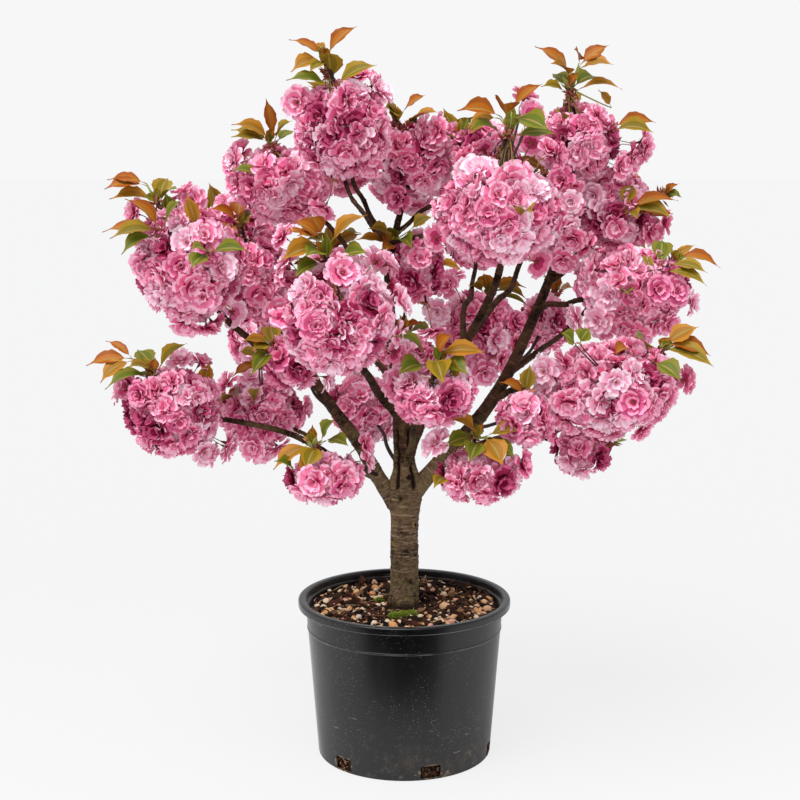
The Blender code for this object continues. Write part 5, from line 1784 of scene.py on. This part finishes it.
def make_shoots(name, end, chance, growth):
    """Shoots up to each leaf, the scales of the bud they came out of, and green slips on its end."""
    roots, near = leaf_roots(name)
    for root, close in zip(roots, near):
        start = end if close else np.array(MASSES[name].middle) * 0.6 + root * 0.4
        rise = (start * 0.4 + root * 0.6 + (0, 0, -0.002))[None]
        path = bezier(start[None], (start * 0.7 + root * 0.3)[None], rise, root[None], 6)
        girth = np.linspace(1.6, 1, 6) * SHOOT_RADIUS
        growth.tubes(path, girth, 4, STALK_GREEN if close else TWIG_BROWN)
    crest = crest_of(name)
    down = chance.uniform(-0.002, SCALED_LENGTH, (SCALES, 1)) * chance.uniform(0.2, 1, (SCALES, 1))
    scales = end - crest * down + chance.normal(0, 0.0040, (SCALES, 3))
    facing = unit(crest * 0.5 + chance.normal(0, 0.75, scales.shape))
    turns = turns_to(facing, chance.uniform(0, math.tau, SCALES))
    growth.place(BRACT, turns, scales, chance.uniform(0.7, 1.5, SCALES), chance.integers(0, 3, SCALES))
    feet = np.repeat(roots[~near], 3, axis=0) + chance.normal(0, 0.003, (3 * (~near).sum(), 3))
    turns = turns_to(unit(chance.normal(0, 1, feet.shape) + 1e-6), chance.uniform(0, 6, len(feet)))
    growth.place(BRACT, turns, feet, chance.uniform(0.6, 1.2, len(feet)),
                 chance.integers(0, 3, len(feet)))
    slips = np.repeat(end[None], SLIPS, axis=0) + chance.normal(0, 0.002, (SLIPS, 3))
    turns = turns_to(unit(crest + chance.normal(0, 0.35, slips.shape)), chance.uniform(0, 6, SLIPS))
    growth.place(BRACT, turns, slips, chance.uniform(1.2, 2.2, SLIPS),
                 np.full(SLIPS, STALK_GREEN - CALYX_RED))


def make_stalks(blooms, chance, growth):
    """A stalk and a calyx for each flower, and bracts where the stalks meet."""
    ends = blooms.places - blooms.facings * (CALYX_LENGTH * blooms.sizes)[:, None]
    starts = blooms.nodes + chance.normal(0, 0.0015, ends.shape)
    length = np.linalg.norm(ends - starts, axis=1)[:, None]
    heads = starts + (unit(ends - starts) + (0, 0, 0.45)) * length * 0.38
    tails = ends - blooms.facings * length * 0.35
    paths = wobbled(bezier(starts, heads, tails, ends, STALK_POINTS), chance, 0.0012)
    colours = chance.choice((STALK_OLIVE, STALK_GREEN, TWIG_BROWN), len(ends), p=(0.5, 0.2, 0.3))
    growth.tubes(paths, STALK_RADIUS, 3, colours)
    turns = turns_to(blooms.facings, chance.uniform(0, math.tau, len(ends)))
    growth.place(CALYX, turns, blooms.places, blooms.sizes, np.zeros(len(ends), int))
    spots, meeting = np.unique(blooms.nodes, axis=0, return_counts=True)
    nodes = np.repeat(spots, np.clip(4 + meeting, 6, 24), axis=0)
    nodes = nodes + chance.normal(0, 0.0018, nodes.shape)
    turns = turns_to(unit(chance.normal(0, 1, nodes.shape)), chance.uniform(0, math.tau, len(nodes)))
    growth.place(BRACT, turns, nodes, chance.uniform(0.6, 1.3, len(nodes)),
                 chance.integers(0, 3, len(nodes)))


CALYX = calyx()
BRACT = bract()
LEAF_FEET = np.concatenate([leaf_roots(name)[0] for name in LEAVES_SEEN])
BLOOMS = {name: blooms_of(name) for name in MASSES}
twig_materials = plain_materials(TWIG_COLOURS, 0.65, 0.3)
for name in MASSES:
    twigs = Growth()
    make_twigs(name, BLOOMS[name], twigs)
    twigs.piece("twigs_" + name, twig_materials, "twigs", "blossom_" + name)

# Leaves
# Young leaves open with the flowers, in a rosette on each spur: bronze and folded when new, then
# green. They arch over, are drawn out to a long point, and a few stand among the flowers.
LEAF_LENGTH = 0.074
LEAF_WIDTH = 0.0318
LEAF_SINK = 0.003
LEAF_ROWS = 13
LEAF_STALK = 0.19
LEAF_BOW = 0.085
FACE_TILT = 0.85
HEART_LEAVES = 4
# How far leaves are brought forward so that they lie on the flowers, and clear of the wood
LEAF_CLEAR = 0.019
LEAF_PUSH = 0.060
LEAF_OVER = 0.017
LEAF_OVER_MOST = 0.100
LEAF_WOOD_CLEAR = 0.006
# Stray leaves: the surface of a ball for each place, how many places stay bare, and their ages
STRAY_AREA = 0.0105
STRAY_LEFT_OUT = 0.70
STRAY_AGES = (0.42, 0.32, 0.20, 0.06)
LEAF_COLOURS = (
    ("leaf_green", (0.108, 0.140, 0.008, 1)),
    ("leaf_green_edge", (0.195, 0.175, 0.014, 1)),
    ("leaf_olive", (0.192, 0.138, 0.006, 1)),
    ("leaf_olive_edge", (0.325, 0.190, 0.012, 1)),
    ("leaf_bronze", (0.305, 0.132, 0.006, 1)),
    ("leaf_bronze_edge", (0.430, 0.180, 0.015, 1)),
    ("leaf_orange", (0.390, 0.116, 0.005, 1)),
    ("leaf_orange_edge", (0.305, 0.076, 0.006, 1)),
    ("leaf_stalk", (0.290, 0.200, 0.035, 1)),
    ("leaf_rib", (0.310, 0.212, 0.050, 1)),
)
STALK_SLOT = 8
RIB_SLOT = 9
# How often a leaf that leans this far from its shoot is green, olive, bronze or orange
LEAF_AGES = {38: (0.05, 0.20, 0.35, 0.40), 58: (0.15, 0.35, 0.30, 0.20), 78: (0.50, 0.35, 0.15, 0.0)}


def blade_width(share):
    """Half the width of a leaf along its length, 1 at its widest, with a drawn-out tip."""
    blade = np.clip((share - LEAF_STALK) / (1 - LEAF_STALK), 0, 1)
    full = 3.485 * blade ** 0.75 * (1 - blade) ** 1.1
    late = np.clip((blade - 0.60) / 0.32, 0, 1)
    point = 1 - 0.66 * late * late * (3 - 2 * late)
    return np.maximum(full * point, 0.062 * (1 - blade ** 6))


def add_leaf(growth, root, tip, face, breadth, age, draw):
    """One leaf from the foot of its stalk to its tip, bowed upwards, its blade towards face."""
    root = np.array(root, float)
    run = np.array(tip, float) - root
    length = np.linalg.norm(run)
    along = run / length
    over = np.array((0, 0, 1.0)) + FACE_TILT * np.array(face) * draw.uniform(0.6, 1.4)
    over = unit(over - (over @ along) * along)
    lift = np.array((0, 0, 1.0)) - along[2] * along + over * 0.35
    bow = length * LEAF_BOW * draw.uniform(0.7, 1.35)
    twist = draw.uniform(-0.45, 0.45)
    fold = draw.choice((0.25, 0.45, 0.65))
    share = np.linspace(0, 1, LEAF_ROWS)[:, None]
    across = np.array((-1, -0.54, -0.08, 0.08, 0.54, 1))
    wide = blade_width(share) * LEAF_WIDTH / 2 * breadth
    wide = wide * (1 + 0.05 * np.where(np.arange(LEAF_ROWS)[:, None] % 2, 1, -1) * (abs(across) == 1))
    turn = twist * (share - 0.3)
    normal = over * np.cos(turn)[..., None] + np.cross(along, over) * np.sin(turn)[..., None]
    side = np.cross(along, normal)
    middle = root + share * run + lift * (bow * 4 * share * (1 - share))
    aside = across * wide
    raised = fold * np.abs(aside) + 0.0009 * np.sin(share * 19 + np.sign(across)) * (abs(across) == 1)
    verts = middle[:, None] + side * aside[..., None] + normal * raised[..., None]
    faces = []
    slots = []
    for row in range(LEAF_ROWS - 1):
        for k in range(5):
            a = row * 6 + k
            faces += [(a, a + 6, a + 7), (a, a + 7, a + 1)]
            edge = k in (0, 4) or row > LEAF_ROWS - 4
            tone = RIB_SLOT if k == 2 and not edge else age * 2 + edge
            if row < LEAF_STALK * LEAF_ROWS - 1:
                tone = STALK_SLOT
            slots += [tone, tone]
    growth.add(verts, faces, slots)


def around(direction, turn):
    """A unit vector square to a direction, at a turn round it."""
    return Matrix.Rotation(turn, 3, direction) @ direction.orthogonal().normalized()


def leaning(crest, turn, angle):
    """The crest's direction leant over by an angle, at a turn round it."""
    return (crest * math.cos(angle) + around(crest, turn) * math.sin(angle)).normalized()


def face_of(mass):
    """The side that the leaves of a rosette turn to: the front, or the back behind the trunk."""
    return (0, -1.0, 0) if mass.middle[1] < 0.1 else (0, 1.0, 0)


def nearer(place, distance):
    """The place moved straight towards the eye at the front."""
    return place + unit(np.array(CAMERA_PLACE) - place) * distance


def flowers_before(root, end):
    """How far a leaf's tip must come forward for the leaf to lie on the flowers."""
    shares = np.array((0.40, 0.60, 0.80, 1.0))
    spots = root + shares[:, None] * (end - root) + (0, 0, 0.004)
    seen, far = as_seen(spots)
    apart = np.linalg.norm(seen[:, None] - SEEN_FLOWERS, axis=-1)
    over = far[:, None] - FAR_FLOWERS + LEAF_OVER
    over = np.where((apart < LEAF_CLEAR) & (over < LEAF_OVER_MOST), over, 0.0).max(axis=1)
    return min(float((over / shares).max()), LEAF_PUSH)


def make_seen_leaves(name, growth):
    """The measured rosettes, and short leaves still folded in their hearts."""
    draw = random.Random("seen " + name)
    mass = MASSES[name]
    tip = np.array(spur_tip_of(mass))
    for seen, root in zip(LEAVES_SEEN[name], leaf_roots(name)[0]):
        measured = tip + np.array(seen.root) / 1000
        end = tip + np.array(seen.tip) / 1000
        end = nearer(end, np.linalg.norm(root - measured))
        end = nearer(end, flowers_before(root, end))
        add_leaf(growth, root, end, face_of(mass), seen.breadth, seen.age, draw)
    crest = heading(*mass.crest)
    end = spur_end(name)
    for i in range(HEART_LEAVES):
        direction = crest + around(crest, draw.uniform(0, math.tau)) * draw.uniform(0.15, 0.9)
        size = LEAF_LENGTH * draw.uniform(0.28, 0.45)
        add_leaf(growth, end, end + np.array(direction.normalized()) * size, face_of(mass), 0.5,
                 draw.choice((GREEN, OLIVE, ORANGE)), draw)


def make_rosette(name, growth):
    """A rosette out of sight of the photograph, by the same draws as the solids'."""
    mass = MASSES[name]
    draw = random.Random("leaf " + name)
    tint = random.Random("tint " + name)
    crest = heading(*mass.crest)
    tip = spur_tip_of(mass)
    for i in range(mass.leaves):
        turn = math.tau * (i + draw.uniform(-0.25, 0.25)) / mass.leaves
        lean = draw.choice(list(LEAF_AGES))
        direction = leaning(crest, turn, math.radians(lean))
        size = draw.uniform(0.82, 1.08)
        root = tip - crest * draw.uniform(0.004, 0.016) - direction * LEAF_SINK
        end = root + direction * LEAF_LENGTH * size
        ends = np.array([root + direction * LEAF_LENGTH * size * 0.9])
        if in_own_space(name, ends, 1.0)[0] and wood_gap(ends, list(ROUTES))[0] > LEAF_WOOD_CLEAR:
            age = tint.choices(range(4), LEAF_AGES[lean])[0]
            add_leaf(growth, root, end, face_of(mass), tint.uniform(0.85, 1.1), age, tint)
    for i in range(mass.leaves - 1):
        turn = tint.uniform(0, math.tau)
        direction = leaning(crest, turn, math.radians(tint.uniform(12, 75)))
        root = tip - crest * tint.uniform(0.004, 0.016)
        end = root + direction * LEAF_LENGTH * tint.uniform(0.4, 0.85)
        add_leaf(growth, root, end, face_of(mass), tint.uniform(0.6, 0.95),
                 tint.choice((OLIVE, BRONZE, ORANGE)), tint)


def make_stray_leaves(name, growth):
    """Small leaves that stand out between the flowers."""
    mass = MASSES[name]
    draw = random.Random("stray " + name)
    count = round(surface_of(mass.half) / STRAY_AREA)
    for out in spread(count, draw.uniform(0, math.tau)):
        if draw.random() < STRAY_LEFT_OUT or out[2] < -0.35:
            continue
        place = np.array(mass.middle) + out * np.array(mass.half) * draw.uniform(0.66, 0.80)
        direction = Vector(out) + Vector([draw.uniform(-0.7, 0.7) for axis in range(3)])
        direction = (direction + Vector((0, 0, draw.uniform(-0.3, 0.5)))).normalized()
        size = draw.uniform(0.50, 0.80)
        ends = place[None] + np.array(direction) * LEAF_LENGTH * size
        if in_own_space(name, np.concatenate((ends, place[None])), 1.0).all():
            age = draw.choices(range(4), STRAY_AGES)[0]
            add_leaf(growth, place, ends[0], face_of(mass), draw.uniform(0.7, 1.0), age, draw)


SEEN_FLOWERS, FAR_FLOWERS = as_seen(np.concatenate([blooms.places for blooms in BLOOMS.values()]))
leaf_materials = plain_materials(LEAF_COLOURS, 0.46, 0.18)
for name in MASSES:
    leaves = Growth()
    make_seen_leaves(name, leaves) if name in LEAVES_SEEN else make_rosette(name, leaves)
    make_stray_leaves(name, leaves)
    leaves.piece("leaves_" + name, leaf_materials, "leaves", "blossom_" + name)

# Blossom
# Full double flowers of some twenty notched petals in rings, wide outside and crumpled within,
# paler to the edge and deep pink at the root. Open, cupped and frilled ones hang side by side.
PETAL_ROWS = ((0.0, 0.17, 2), (0.42, 0.72, 3), (0.78, 1.0, 5))
PETAL_TIP = ((0.90, -0.88), (0.99, -0.46), (0.95, 0.0), (0.99, 0.46), (0.90, 0.88))
# A ring of petals: how many, length, width, rise and curl in degrees, how far the rise varies,
# waviness, whether they have a notched edge, and their tones from root to edge
Ring = namedtuple("Ring", "count length width rise curl loose wave fine tones")
OPEN_FLOWER = (
    Ring(8, 0.0258, 0.0172, 10, 22, 12, 0.0018, True, (0, 1, 2)),
    Ring(7, 0.0232, 0.0160, 34, 20, 13, 0.0019, True, (0, 1, 2)),
    Ring(5, 0.0162, 0.0112, 56, 10, 15, 0.0016, False, (1, 2)),
    Ring(3, 0.0088, 0.0062, 74, -10, 12, 0.0008, False, (0, 1)),
)
BELL_FLOWER = (
    Ring(7, 0.0256, 0.0176, 38, 44, 11, 0.0018, True, (0, 1, 2)),
    Ring(6, 0.0230, 0.0160, 54, 32, 12, 0.0018, True, (0, 1, 2)),
    Ring(5, 0.0176, 0.0120, 70, 22, 12, 0.0014, False, (1, 2)),
)
ROSE_FLOWER = (
    Ring(6, 0.0230, 0.0200, 18, 34, 10, 0.0016, True, (0, 1, 2)),
    Ring(6, 0.0208, 0.0178, 44, 22, 12, 0.0018, True, (0, 1, 2)),
    Ring(5, 0.0170, 0.0150, 62, -8, 12, 0.0017, True, (0, 1, 2)),
    Ring(4, 0.0134, 0.0124, 76, -26, 9, 0.0012, False, (1, 2)),
    Ring(3, 0.0102, 0.0090, 82, -40, 8, 0.0010, False, (0, 1)),
)
FRILLED_FLOWER = (
    Ring(8, 0.0238, 0.0170, 12, 24, 13, 0.0019, True, (0, 1, 2)),
    Ring(7, 0.0216, 0.0156, 36, 18, 15, 0.0021, True, (0, 1, 2)),
    Ring(5, 0.0186, 0.0136, 56, 14, 15, 0.0020, True, (0, 1, 2)),
    Ring(5, 0.0144, 0.0108, 72, 10, 14, 0.0014, False, (1, 2)),
)
INNER_FLOWER = (
    Ring(7, 0.0215, 0.0172, 24, 16, 17, 0.0026, True, (0, 1, 2)),
    Ring(6, 0.0180, 0.0140, 54, 0, 17, 0.0024, False, (1, 2)),
)
# Each tint's tones, from the root of a petal to its edge, and how often a flower has it
PETAL_TINTS = (
    ("pale", ((0.750, 0.170, 0.325, 1), (0.895, 0.450, 0.600, 1), (0.950, 0.705, 0.800, 1))),
    ("rose", ((0.500, 0.038, 0.140, 1), (0.815, 0.212, 0.374, 1), (0.920, 0.495, 0.640, 1))),
    ("deep", ((0.290, 0.013, 0.058, 1), (0.670, 0.114, 0.266, 1), (0.860, 0.335, 0.495, 1))),
    # The inner tint is painted shade, for flowers deep inside a ball
    ("inner", ((0.080, 0.001, 0.010, 1), (0.290, 0.014, 0.066, 1), (0.530, 0.085, 0.200, 1))),
)
TINT_SHARES = (0.36, 0.42, 0.22)
PALE, ROSE, DEEP, SHADE_TINT = range(4)
TONES = 3
EYE = ("eye", (0.340, 0.160, 0.035, 1))
# Painted glow: the petals give off a little light of their own colour, in place of light shining through
# them
PAINTED_PETAL_GLOW = 0.045
# How often a flower inside a ball has each tint: where light falls in, and where it doesn't
INNER_LIT_SHARES = (0.2, 0.5, 0.3)
INNER_TINT_SHARES = (0.25, 0.35, 0.40)
# How often a flower is open, bell-shaped, a rose or frilled, and how many shapes there are of each
FORM_SHARES = (0.34, 0.22, 0.07, 0.37)
BELL, ROSE_FORM = 1, 2
SHAPES_OF_EACH = 3


def petal_place(ring, rise, across, share, wide, phase):
    """A point of a petal: along its arc, across it, and lifted by its cup and its waves."""
    curl = math.radians(ring.curl) or 1e-4
    start = math.radians(rise)
    angle = start - curl * share
    out = ring.length * (math.sin(start) - math.sin(angle)) / curl
    up = ring.length * (math.cos(angle) - math.cos(start)) / curl
    aside = across * wide * ring.width / 2
    lift = 0.20 * across * across * wide * ring.width
    lift += ring.wave * math.sin(phase + 3.4 * across + 4.0 * share) * share * share
    lift += 0.6 * ring.wave * math.sin(2 * phase + 7.5 * across) * share ** 3
    return out - lift * math.sin(angle), aside, up + lift * math.cos(angle)


def petal(ring, rise, phase):
    """A petal along X: 17 faces with a notched edge, or 7 on a plain one."""
    rows = PETAL_ROWS if ring.fine else ((0.0, 0.2, 2), (0.55, 0.95, 3))
    verts = [petal_place(ring, rise, across, share, wide, phase)
             for share, wide, points in rows for across in np.linspace(-1, 1, points)]
    if ring.fine:
        verts += [petal_place(ring, rise, across, share, 1.0, phase) for share, across in PETAL_TIP]
        faces = [(0, 2, 3), (0, 3, 1), (1, 3, 4), (2, 5, 6), (2, 6, 3), (3, 6, 7), (3, 7, 8),
                 (3, 8, 4), (4, 8, 9)]
        for k in range(5, 9):
            faces += [(k, k + 6, k + 1), (k, k + 5, k + 6)]
        slots = [ring.tones[0]] * 3 + [ring.tones[1]] * 6 + [ring.tones[2]] * 8
    else:
        verts += [petal_place(ring, rise, across, share, 0.9, phase)
                  for share, across in ((0.93, -0.8), (0.90, 0.0), (1.0, 0.7))]
        faces = [(0, 2, 3), (0, 3, 1), (1, 3, 4), (2, 6, 3), (2, 5, 6), (3, 7, 4), (3, 6, 7)]
        slots = [ring.tones[0]] * 3 + [ring.tones[1]] * 4
    return np.array(verts), np.array(faces), np.array(slots)


def flower(rings, draw):
    """A whole flower that faces up Z, with its calyx at the origin."""
    verts = []
    faces = []
    slots = []
    count = 0
    for level, ring in enumerate(rings):
        for i in range(ring.count):
            sized = ring._replace(length=ring.length * draw.uniform(0.90, 1.06),
                                  width=ring.width * draw.uniform(0.90, 1.10),
                                  curl=ring.curl + draw.uniform(-8, 8))
            rise = ring.rise + draw.uniform(-ring.loose, ring.loose)
            made = petal(sized, rise, draw.uniform(0, math.tau))
            turn = math.tau * (i + 0.5 * (level % 2) + draw.uniform(-0.20, 0.20)) / ring.count
            spin = np.array(((math.cos(turn), -math.sin(turn), 0), (math.sin(turn), math.cos(turn), 0),
                             (0, 0, 1)))
            root = (0.0022 - 0.0003 * level, 0.0, 0.0006 * level)
            verts.append((made[0] + root) @ spin.T)
            faces.append(made[1] + count)
            slots.append(made[2])
            count += len(made[0])
    return np.concatenate(verts), np.concatenate(faces), np.concatenate(slots)


def eye():
    """The knot of stamens in the middle of a flower."""
    verts, faces, slots = lump(1, (0.0019, 0.0019, 0.0030), 2.0, 0.5)
    return verts + (0, 0, 0.0055), faces, slots + TONES * len(PETAL_TINTS)


def blossom_materials():
    """Three tones for each tint, with a little painted glow in their own colour that stands in for light
    coming through the thin petals.
    """
    made = []
    for tint, tones in PETAL_TINTS:
        for tone, colour in enumerate(tones):
            glow = {"Emission Color": colour, "Emission Strength": PAINTED_PETAL_GLOW}
            made += plain_materials([(f"petal_{tint}_{tone}", colour)], 0.70, 0.12, glow)
    return made + plain_materials((EYE,), 0.7, 0.3)


def make_blossoms(name, blooms, growth):
    """The flowers of a ball. Deep is a real tint, but it is kept for flowers that face neither up nor
    down, painted light that leaves the tops and undersides paler.
    """
    chance = array_draws("petals", name)
    count = len(blooms.places)
    up = blooms.facings[:, 2]
    kinds = chance.choice(4, count, p=FORM_SHARES)
    kinds[(up < -0.2) & (kinds == ROSE_FORM)] = BELL
    kinds = kinds * SHAPES_OF_EACH + chance.integers(0, SHAPES_OF_EACH, count)
    tints = chance.choice(3, count, p=TINT_SHARES)
    # Painted light: flowers that face up or down lose the deep tint and read paler
    tints[(abs(up) > 0.30) & (tints == DEEP)] = ROSE
    turns = turns_to(blooms.facings, chance.uniform(0, math.tau, count))
    for kind, shape in enumerate(FLOWERS):
        some = kinds == kind
        growth.place(shape, turns[some], blooms.places[some], blooms.sizes[some], tints[some] * TONES)
    growth.place(EYE_SHAPE, turns, blooms.places, blooms.sizes, np.zeros(count, int))
    count = len(blooms.inner)
    turns = turns_to(blooms.inner_facings, chance.uniform(0, math.tau, count))
    # Inner flowers that face up or down take lighter tints, the others may take the painted-shade tint
    lit = abs(blooms.inner_facings[:, 2]) > 0.45
    tints = np.where(lit, chance.choice((PALE, ROSE, DEEP), count, p=INNER_LIT_SHARES),
                     chance.choice((ROSE, DEEP, SHADE_TINT), count, p=INNER_TINT_SHARES))
    growth.place(INNER, turns, blooms.inner, chance.uniform(0.9, 1.2, count), tints * TONES)


flower_draw = random.Random("flower shapes")
FLOWERS = [flower(rings, flower_draw)
           for rings in (OPEN_FLOWER, BELL_FLOWER, ROSE_FLOWER, FRILLED_FLOWER)
           for kind in range(SHAPES_OF_EACH)]
INNER = flower(INNER_FLOWER, flower_draw)
EYE_SHAPE = eye()
petal_materials = blossom_materials()
for name in MASSES:
    blossoms = Growth()
    make_blossoms(name, BLOOMS[name], blossoms)
    blossoms.piece("blossoms_" + name, petal_materials, "blossom", "blossom_" + name)

# Studio
# The floor and the lights are not part of the plant: a pale paper floor under one wide soft light
# from above the camera's left, with an even white room round it and a black card on the camera's
# side, as a photographer sets one up to keep glare off a shiny pot.
CAMERA_DOWN = 9.2
CAMERA_LENS = 68.4
FLOOR_SIZE = 60.0
FLOOR_PAPER = (0.70, 0.70, 0.705, 1)
FLOOR_SEEN = (0.10, 0.10, 0.10, 1)
FLOOR_NEAR = (0.810, 0.810, 0.815, 1)
FLOOR_FAR = (0.760, 0.760, 0.768, 1)
FLOOR_FADE = (-1.0, 1.2)
ROOM_LIGHT = (0.97, 0.985, 1.0, 1)
ROOM_STRENGTH = 0.80
ROOM_SEEN = (0.930, 0.930, 0.938, 1)
SUN_STRENGTH = 2.8
SUN_SPREAD = 40.0
SUN_TURN = (28, -6, -22)
CARD_BLACK = (0.004, 0.004, 0.004, 1)
CARD_OUTLINE = ((-0.29, -0.36, 0.002), (0.25, -0.36, 0.002), (4.60, -4.50, 0.002), (4.60, -4.50, 3.2),
                (-5.00, -4.50, 3.2), (-5.00, -4.50, 0.002))


def make_floor():
    """Paper lit from behind, which takes only a faint shadow. It throws less light than is seen."""
    made, at = new_material("paper")
    glow = at.axis("Y").step(*FLOOR_FADE).mix(FLOOR_NEAR, FLOOR_FAR)
    set_shader(made, {"Base Color": FLOOR_SEEN, "Roughness": 0.9, "Specular IOR Level": 0.0,
                      "Emission Color": glow, "Emission Strength": 1.0})
    tree = made.node_tree
    seen = Shade(tree, tree.nodes.new("ShaderNodeLightPath").outputs["Is Camera Ray"])
    plain = seen.node("ShaderNodeBsdfDiffuse", {}, {"Color": FLOOR_PAPER})
    shown = Shade(tree, tree.nodes["Principled BSDF"].outputs["BSDF"])
    both = seen.node("ShaderNodeMixShader", {}, {0: seen, 1: plain, 2: shown})
    tree.links.new(both.socket, tree.nodes["Material Output"].inputs["Surface"])
    bm = bmesh.new()
    bmesh.ops.create_grid(bm, x_segments=1, y_segments=1, size=FLOOR_SIZE)
    floor = as_object(bm, "floor", [made])


def make_room():
    """An even white room. The camera sees it a little brighter than it shines."""
    world = bpy.data.worlds.new("room")
    bpy.context.scene.world = world
    world.use_nodes = True
    tree = world.node_tree
    tree.nodes.clear()
    seen = Shade(tree, tree.nodes.new("ShaderNodeLightPath").outputs["Is Camera Ray"])
    light = seen.node("ShaderNodeBackground", {}, {"Color": ROOM_LIGHT, "Strength": ROOM_STRENGTH})
    paper = seen.node("ShaderNodeBackground", {}, {"Color": ROOM_SEEN, "Strength": 1.0})
    both = seen.node("ShaderNodeMixShader", {}, {0: seen, 1: light, 2: paper})
    tree.links.new(both.socket, tree.nodes.new("ShaderNodeOutputWorld").inputs["Surface"])


def make_card():
    """A black card that only shows as a dark column in the shiny pot."""
    made = new_material("black_card")[0]
    set_shader(made, {"Base Color": CARD_BLACK, "Roughness": 1.0, "Specular IOR Level": 0.0})
    bm = bmesh.new()
    corners = [bm.verts.new(corner) for corner in CARD_OUTLINE]
    bm.faces.new((corners[0], corners[1], corners[2], corners[5]))
    bm.faces.new((corners[5], corners[2], corners[3], corners[4]))
    card = as_object(bm, "card", [made])
    card.visible_camera = False
    card.visible_diffuse = False
    card.visible_shadow = False


def make_sun():
    """One wide soft light for the shadows."""
    lamp = bpy.data.lights.new("soft_light", "SUN")
    lamp.energy = SUN_STRENGTH
    lamp.angle = math.radians(SUN_SPREAD)
    made = bpy.data.objects.new("soft_light", lamp)
    made.rotation_euler = [math.radians(turn) for turn in SUN_TURN]
    bpy.context.scene.collection.objects.link(made)


def make_camera():
    """The camera straight in front, a little above and looking down."""
    lens = bpy.data.cameras.new("camera")
    lens.lens = CAMERA_LENS
    made = bpy.data.objects.new("camera", lens)
    made.location = CAMERA_PLACE
    made.rotation_euler = (math.radians(90 - CAMERA_DOWN), 0, 0)
    bpy.context.scene.collection.objects.link(made)
    bpy.context.scene.camera = made


make_floor()
make_room()
make_card()
make_sun()
make_camera()
bpy.context.scene.view_settings.view_transform = "Standard"
